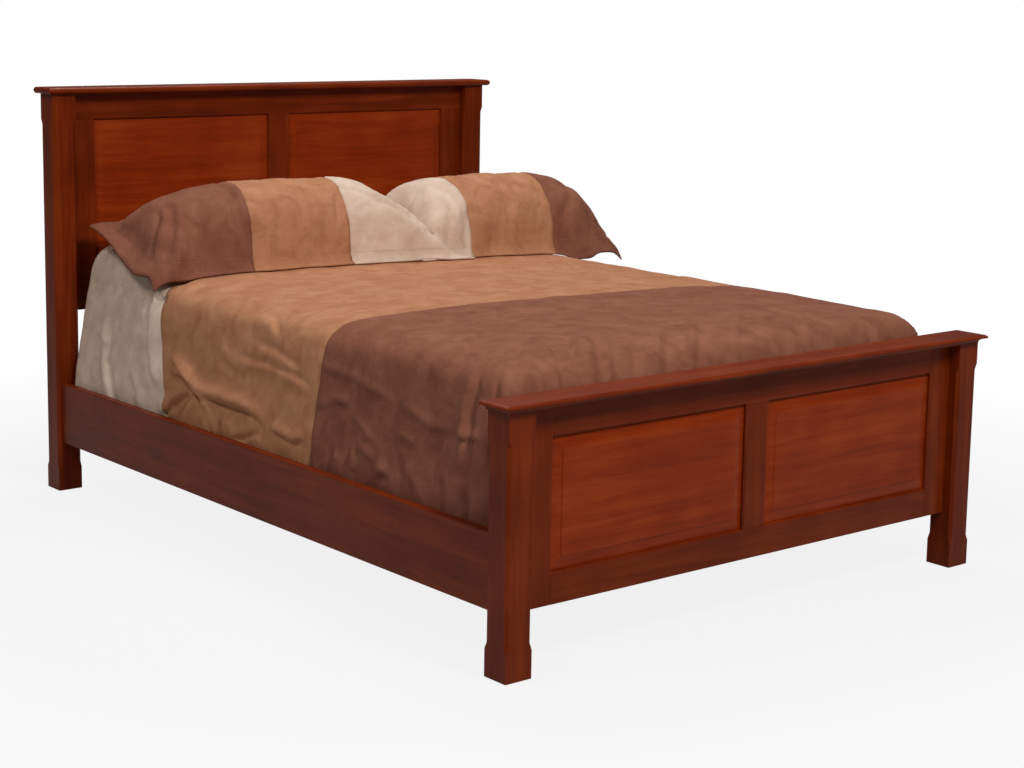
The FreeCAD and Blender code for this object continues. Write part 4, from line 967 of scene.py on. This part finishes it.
def lay_sham(sheets, centre, turn, angles, creases, ground_under, corner_pull=(0, 0), droop=0.0):
    """Tilt, turn and place the flat sham, then lay its border and its underside on the ground."""
    U, W, up, down, marks = sheets
    half_u, half_w = np.where(U < 0, -U.min(), U.max()), np.abs(W).max()
    cs, sn, ct, st = math.cos(turn), math.sin(turn), math.cos(SHAM_TILT), math.sin(SHAM_TILT)
    edge = np.maximum(smooth_step(half_u - BORDER - .012, half_u, np.abs(U)),
                      smooth_step(half_w - BORDER - .012, half_w, np.abs(W)))
    front = 1 - smooth_step(-.02, .16, W)
    pull = smooth_step(.45, 1, U / half_u) * smooth_step(.2, 1, -W / half_w)
    tuck_in = smooth_step(.55, 1, -U / half_u) * smooth_step(.3, 1, -W / half_w) * (droop > 0)
    relief = 0 * U
    for crease in creases:
        relief += tuck(U, W, *crease)
    for mark in marks[2:4]:
        relief -= 0.0022 * np.exp(-((U - U[0, mark]) / 0.006) ** 2)
    rough = [noise.noise(Vector((u * 9, w * 9, centre[0] * 31)))
             + 0.5 * noise.noise(Vector((u * 24, w * 24, centre[0] * 17)))
             for u, w in zip(U.ravel(), W.ravel())]
    relief += 0.0035 * np.array(rough).reshape(U.shape)
    laid = []
    for sheet, clear, is_top in ((up, BORDER_THICKNESS + SHAM_CLEAR, True), (down, SHAM_CLEAR, False)):
        sheet = bend_border(sheet, U, W, angles)
        if is_top:
            sheet = sheet + grid_normals(sheet) * relief[..., None]
        x, y, z = sheet[..., 0], sheet[..., 1], sheet[..., 2]
        y, z = ct * y - st * z, st * y + ct * z
        p = np.stack([centre[0] + cs * x - sn * y, centre[1] + sn * x + cs * y, centre[2] + z], -1)
        for k in (0, 1):
            p[..., k] += corner_pull[k] * pull
            p[..., k] += CORNER_TUCK[k] * tuck_in
        if droop:
            over = np.clip(-droop - p[..., 0], 0, None)
            bend = over / DROOP_RADIUS
            weight = 1 - smooth_step(-.10, .14, W)
            p[..., 0] += np.where(over > 0, weight * (over - DROOP_RADIUS * np.sin(bend)), 0)
            p[..., 2] -= np.where(over > 0, weight * DROOP_RADIUS * (1 - np.cos(bend)), 0)
        hug = edge * front * (0.92 if is_top else 1.0) * (1 - tuck_in)
        flat = p.reshape(-1, 3)
        for k, (h, e) in enumerate(zip(hug.ravel(), edge.ravel())):
            gap = clear if not is_top or e > 0.5 else clear + 0.004
            flat[k] = ground_under.keep_out(flat[k], gap, float(h))
        laid.append(soften_edge(flat.reshape(p.shape), edge))
    top, bottom = laid
    top[..., 2] = np.maximum(top[..., 2], bottom[..., 2] + BORDER_THICKNESS * 0.6)
    return top, bottom, marks


print("sham tools ready")


# %% Cut a sham at its seams
SHAM_TILT = math.radians(11)


def sham_bands(side, laid, colours):
    """Three closed pieces, one for each colour, from the two laid sheets."""
    top, bottom, marks = laid
    cuts = [0, marks[2], marks[3], top.shape[1] - 1]
    for colour, low, high in zip(colours, cuts, cuts[1:]):
        name, part = "sham_%s_%s" % (side, colour), slice(low, high + 1)
        piece = closed_piece(name, top[:, part], bottom[:, part], colour)
        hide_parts("pillow_%s_%s" % (side, colour))
        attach(piece, side + "_pillow")
        print(piece.name, len(piece.data.polygons), "faces")


LEFT_CREASES = [  # (u, w) on the flat sham
    (15, 7, -430, -225, -350, -150, -310, -60, -315, 20), (13, 5, -405, -120, -350, -60, -330, 10),
    (16, -4, -260, -190, -200, -120, -190, -40), (14, 4, -140, -190, -125, -80, -150, 40),
    (14, 5, 250, -150, 330, -110, 420, -190), (12, -5, 250, -60, 340, -120, 430, -215),
    (12, 3, 30, -195, 60, -150, 50, -90), (12, 3, 160, -195, 140, -140, 150, -80),
]
RIGHT_CREASES = [
    (14, 5, -300, -185, -250, -120, -260, -40), (12, 4, -240, -200, -200, -150, -120, -160),
    (14, 4, 150, -190, 220, -130, 230, -40), (14, -4, 200, 40, 270, -20, 300, -110),
    (12, 3, -60, -195, -40, -140, -50, -90),
]
cover_top = cloth[::2, ::2]
right_sheets = swell_sham("sham_right", (.405, .398), .480, .152, (-.205, .127), (9, 4.0))
right_laid = lay_sham(right_sheets, (.510, .600, .780), math.radians(-3), (50, 10, 38), RIGHT_CREASES,
                      Ground([cover_top]))
sham_bands("right", right_laid, ("cream", "tan", "brown"))
left_sheets = swell_sham("sham_left", (.453, .463), .480, .156, (-.099, .224), (2.6, 12))
left_laid = lay_sham(left_sheets, (-.317, .695, .786), math.radians(-8), (50, 12, 35), LEFT_CREASES,
                     Ground([cover_top, right_laid[0]]), corner_pull=(.170, -.040), droop=.68)
sham_bands("left", left_laid, ("brown", "tan", "cream"))

# %% [markdown]
# ## Stitches
# Each seam of the cover is sewn down with pale thread. One stitch is modelled, a short
# rounded rod, and it is set down again and again along the row of the grid where the seam
# runs, just above the cloth.

# %% Thread
thread, _, _, thread_shader = new_material("seam_thread")
fill_in(thread_shader, Base_Color=linear("#a98465"), Roughness=0.7, Sheen_Weight=0.2)
STITCH_LENGTH, STITCH_EVERY = 0.0042, 0.0075
bpy.ops.object.select_all(action="DESELECT")
bpy.ops.mesh.primitive_cylinder_add(vertices=6, radius=0.00045, depth=STITCH_LENGTH)
stitch = bpy.context.object
stitch.name = "stitch"


def stitch_run(name, line, normals, body):
    """Stitches along a line of points, as one piece on the given body."""
    steps = np.concatenate([[0], np.cumsum(np.linalg.norm(np.diff(line, axis=0), axis=1))])

    def read(values, place):
        return Vector([np.interp(place, steps, values[:, k]) for k in range(3)])

    run = bmesh.new()
    for place in np.arange(STITCH_EVERY, steps[-1] - STITCH_EVERY, STITCH_EVERY):
        at, ahead, up = read(line, place), read(line, place + 0.002), read(normals, place).normalized()
        turn = (ahead - at).to_track_quat("Z", "X").to_matrix().to_4x4()
        old = len(run.verts)
        run.from_mesh(stitch.data)
        run.verts.ensure_lookup_table()
        bmesh.ops.transform(run, matrix=Matrix.Translation(at + up * 0.0003) @ turn, verts=run.verts[old:])
    mesh = bpy.data.meshes.new(name)
    run.to_mesh(mesh)
    run.free()
    mesh.shade_smooth()
    piece = new_piece(name, mesh, thread)
    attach(piece, body)
    print(name, len(mesh.polygons) // len(stitch.data.polygons), "stitches")


outward = grid_normals(cloth)
for name, row in (("brown", seam_rows[0] + 1), ("cream", seam_rows[1] - 1)):
    stitch_run("cover_stitches_" + name, cloth[row], outward[row], "frame")
front_row = round(BORDER / SHAM_CELL)
for side, (top, _, _) in (("left", left_laid), ("right", right_laid)):
    along = top[front_row, 5:-5], grid_normals(top)[front_row, 5:-5]
    stitch_run("sham_stitches_" + side, *along, side + "_pillow")
bpy.data.objects.remove(stitch)

# %% [markdown]
# ## Screws
# The ledgers are screwed to the side rails. One screw head is turned from a short cylinder
# with a socket pressed into it, and copied along both strips.

# %% Ledger screws
SCREW_RADIUS, SCREW_HEIGHT, SCREW_COUNT = 0.0045, 0.0022, 9
bpy.ops.object.select_all(action="DESELECT")
bpy.ops.mesh.primitive_cylinder_add(vertices=24, radius=SCREW_RADIUS, depth=SCREW_HEIGHT)
head = bpy.context.object
top_face = max(head.data.polygons, key=lambda face: face.center.z)
for face in head.data.polygons:
    face.select = face == top_face
bpy.ops.object.mode_set(mode="EDIT")
bpy.ops.mesh.inset(thickness=SCREW_RADIUS * 0.5)
bpy.ops.mesh.extrude_region_move(TRANSFORM_OT_translate={"value": (0, 0, -SCREW_HEIGHT * 0.6)})
bpy.ops.object.mode_set(mode="OBJECT")
bpy.ops.object.shade_smooth_by_angle(angle=math.radians(35))
for side, ledger in ((1, "rail_ledger_left"), (-1, "rail_ledger_right")):
    low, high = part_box(ledger)
    face = high[0] if side > 0 else low[0]
    turn = Matrix.Rotation(side * math.pi / 2, 4, "Y")
    for k in range(SCREW_COUNT):
        y = low[1] + (high[1] - low[1]) * (k + 0.5) / SCREW_COUNT
        place = Matrix.Translation((face + side * SCREW_HEIGHT / 2, y, (low[2] + high[2]) / 2))
        mesh = head.data.copy()
        mesh.name = "%s_screw_%d" % (ledger, k + 1)
        mesh.transform(place @ turn)
        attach(new_piece(mesh.name, mesh, zinc), "frame")
bpy.data.objects.remove(head)
print("ledger screws:", 2 * SCREW_COUNT)
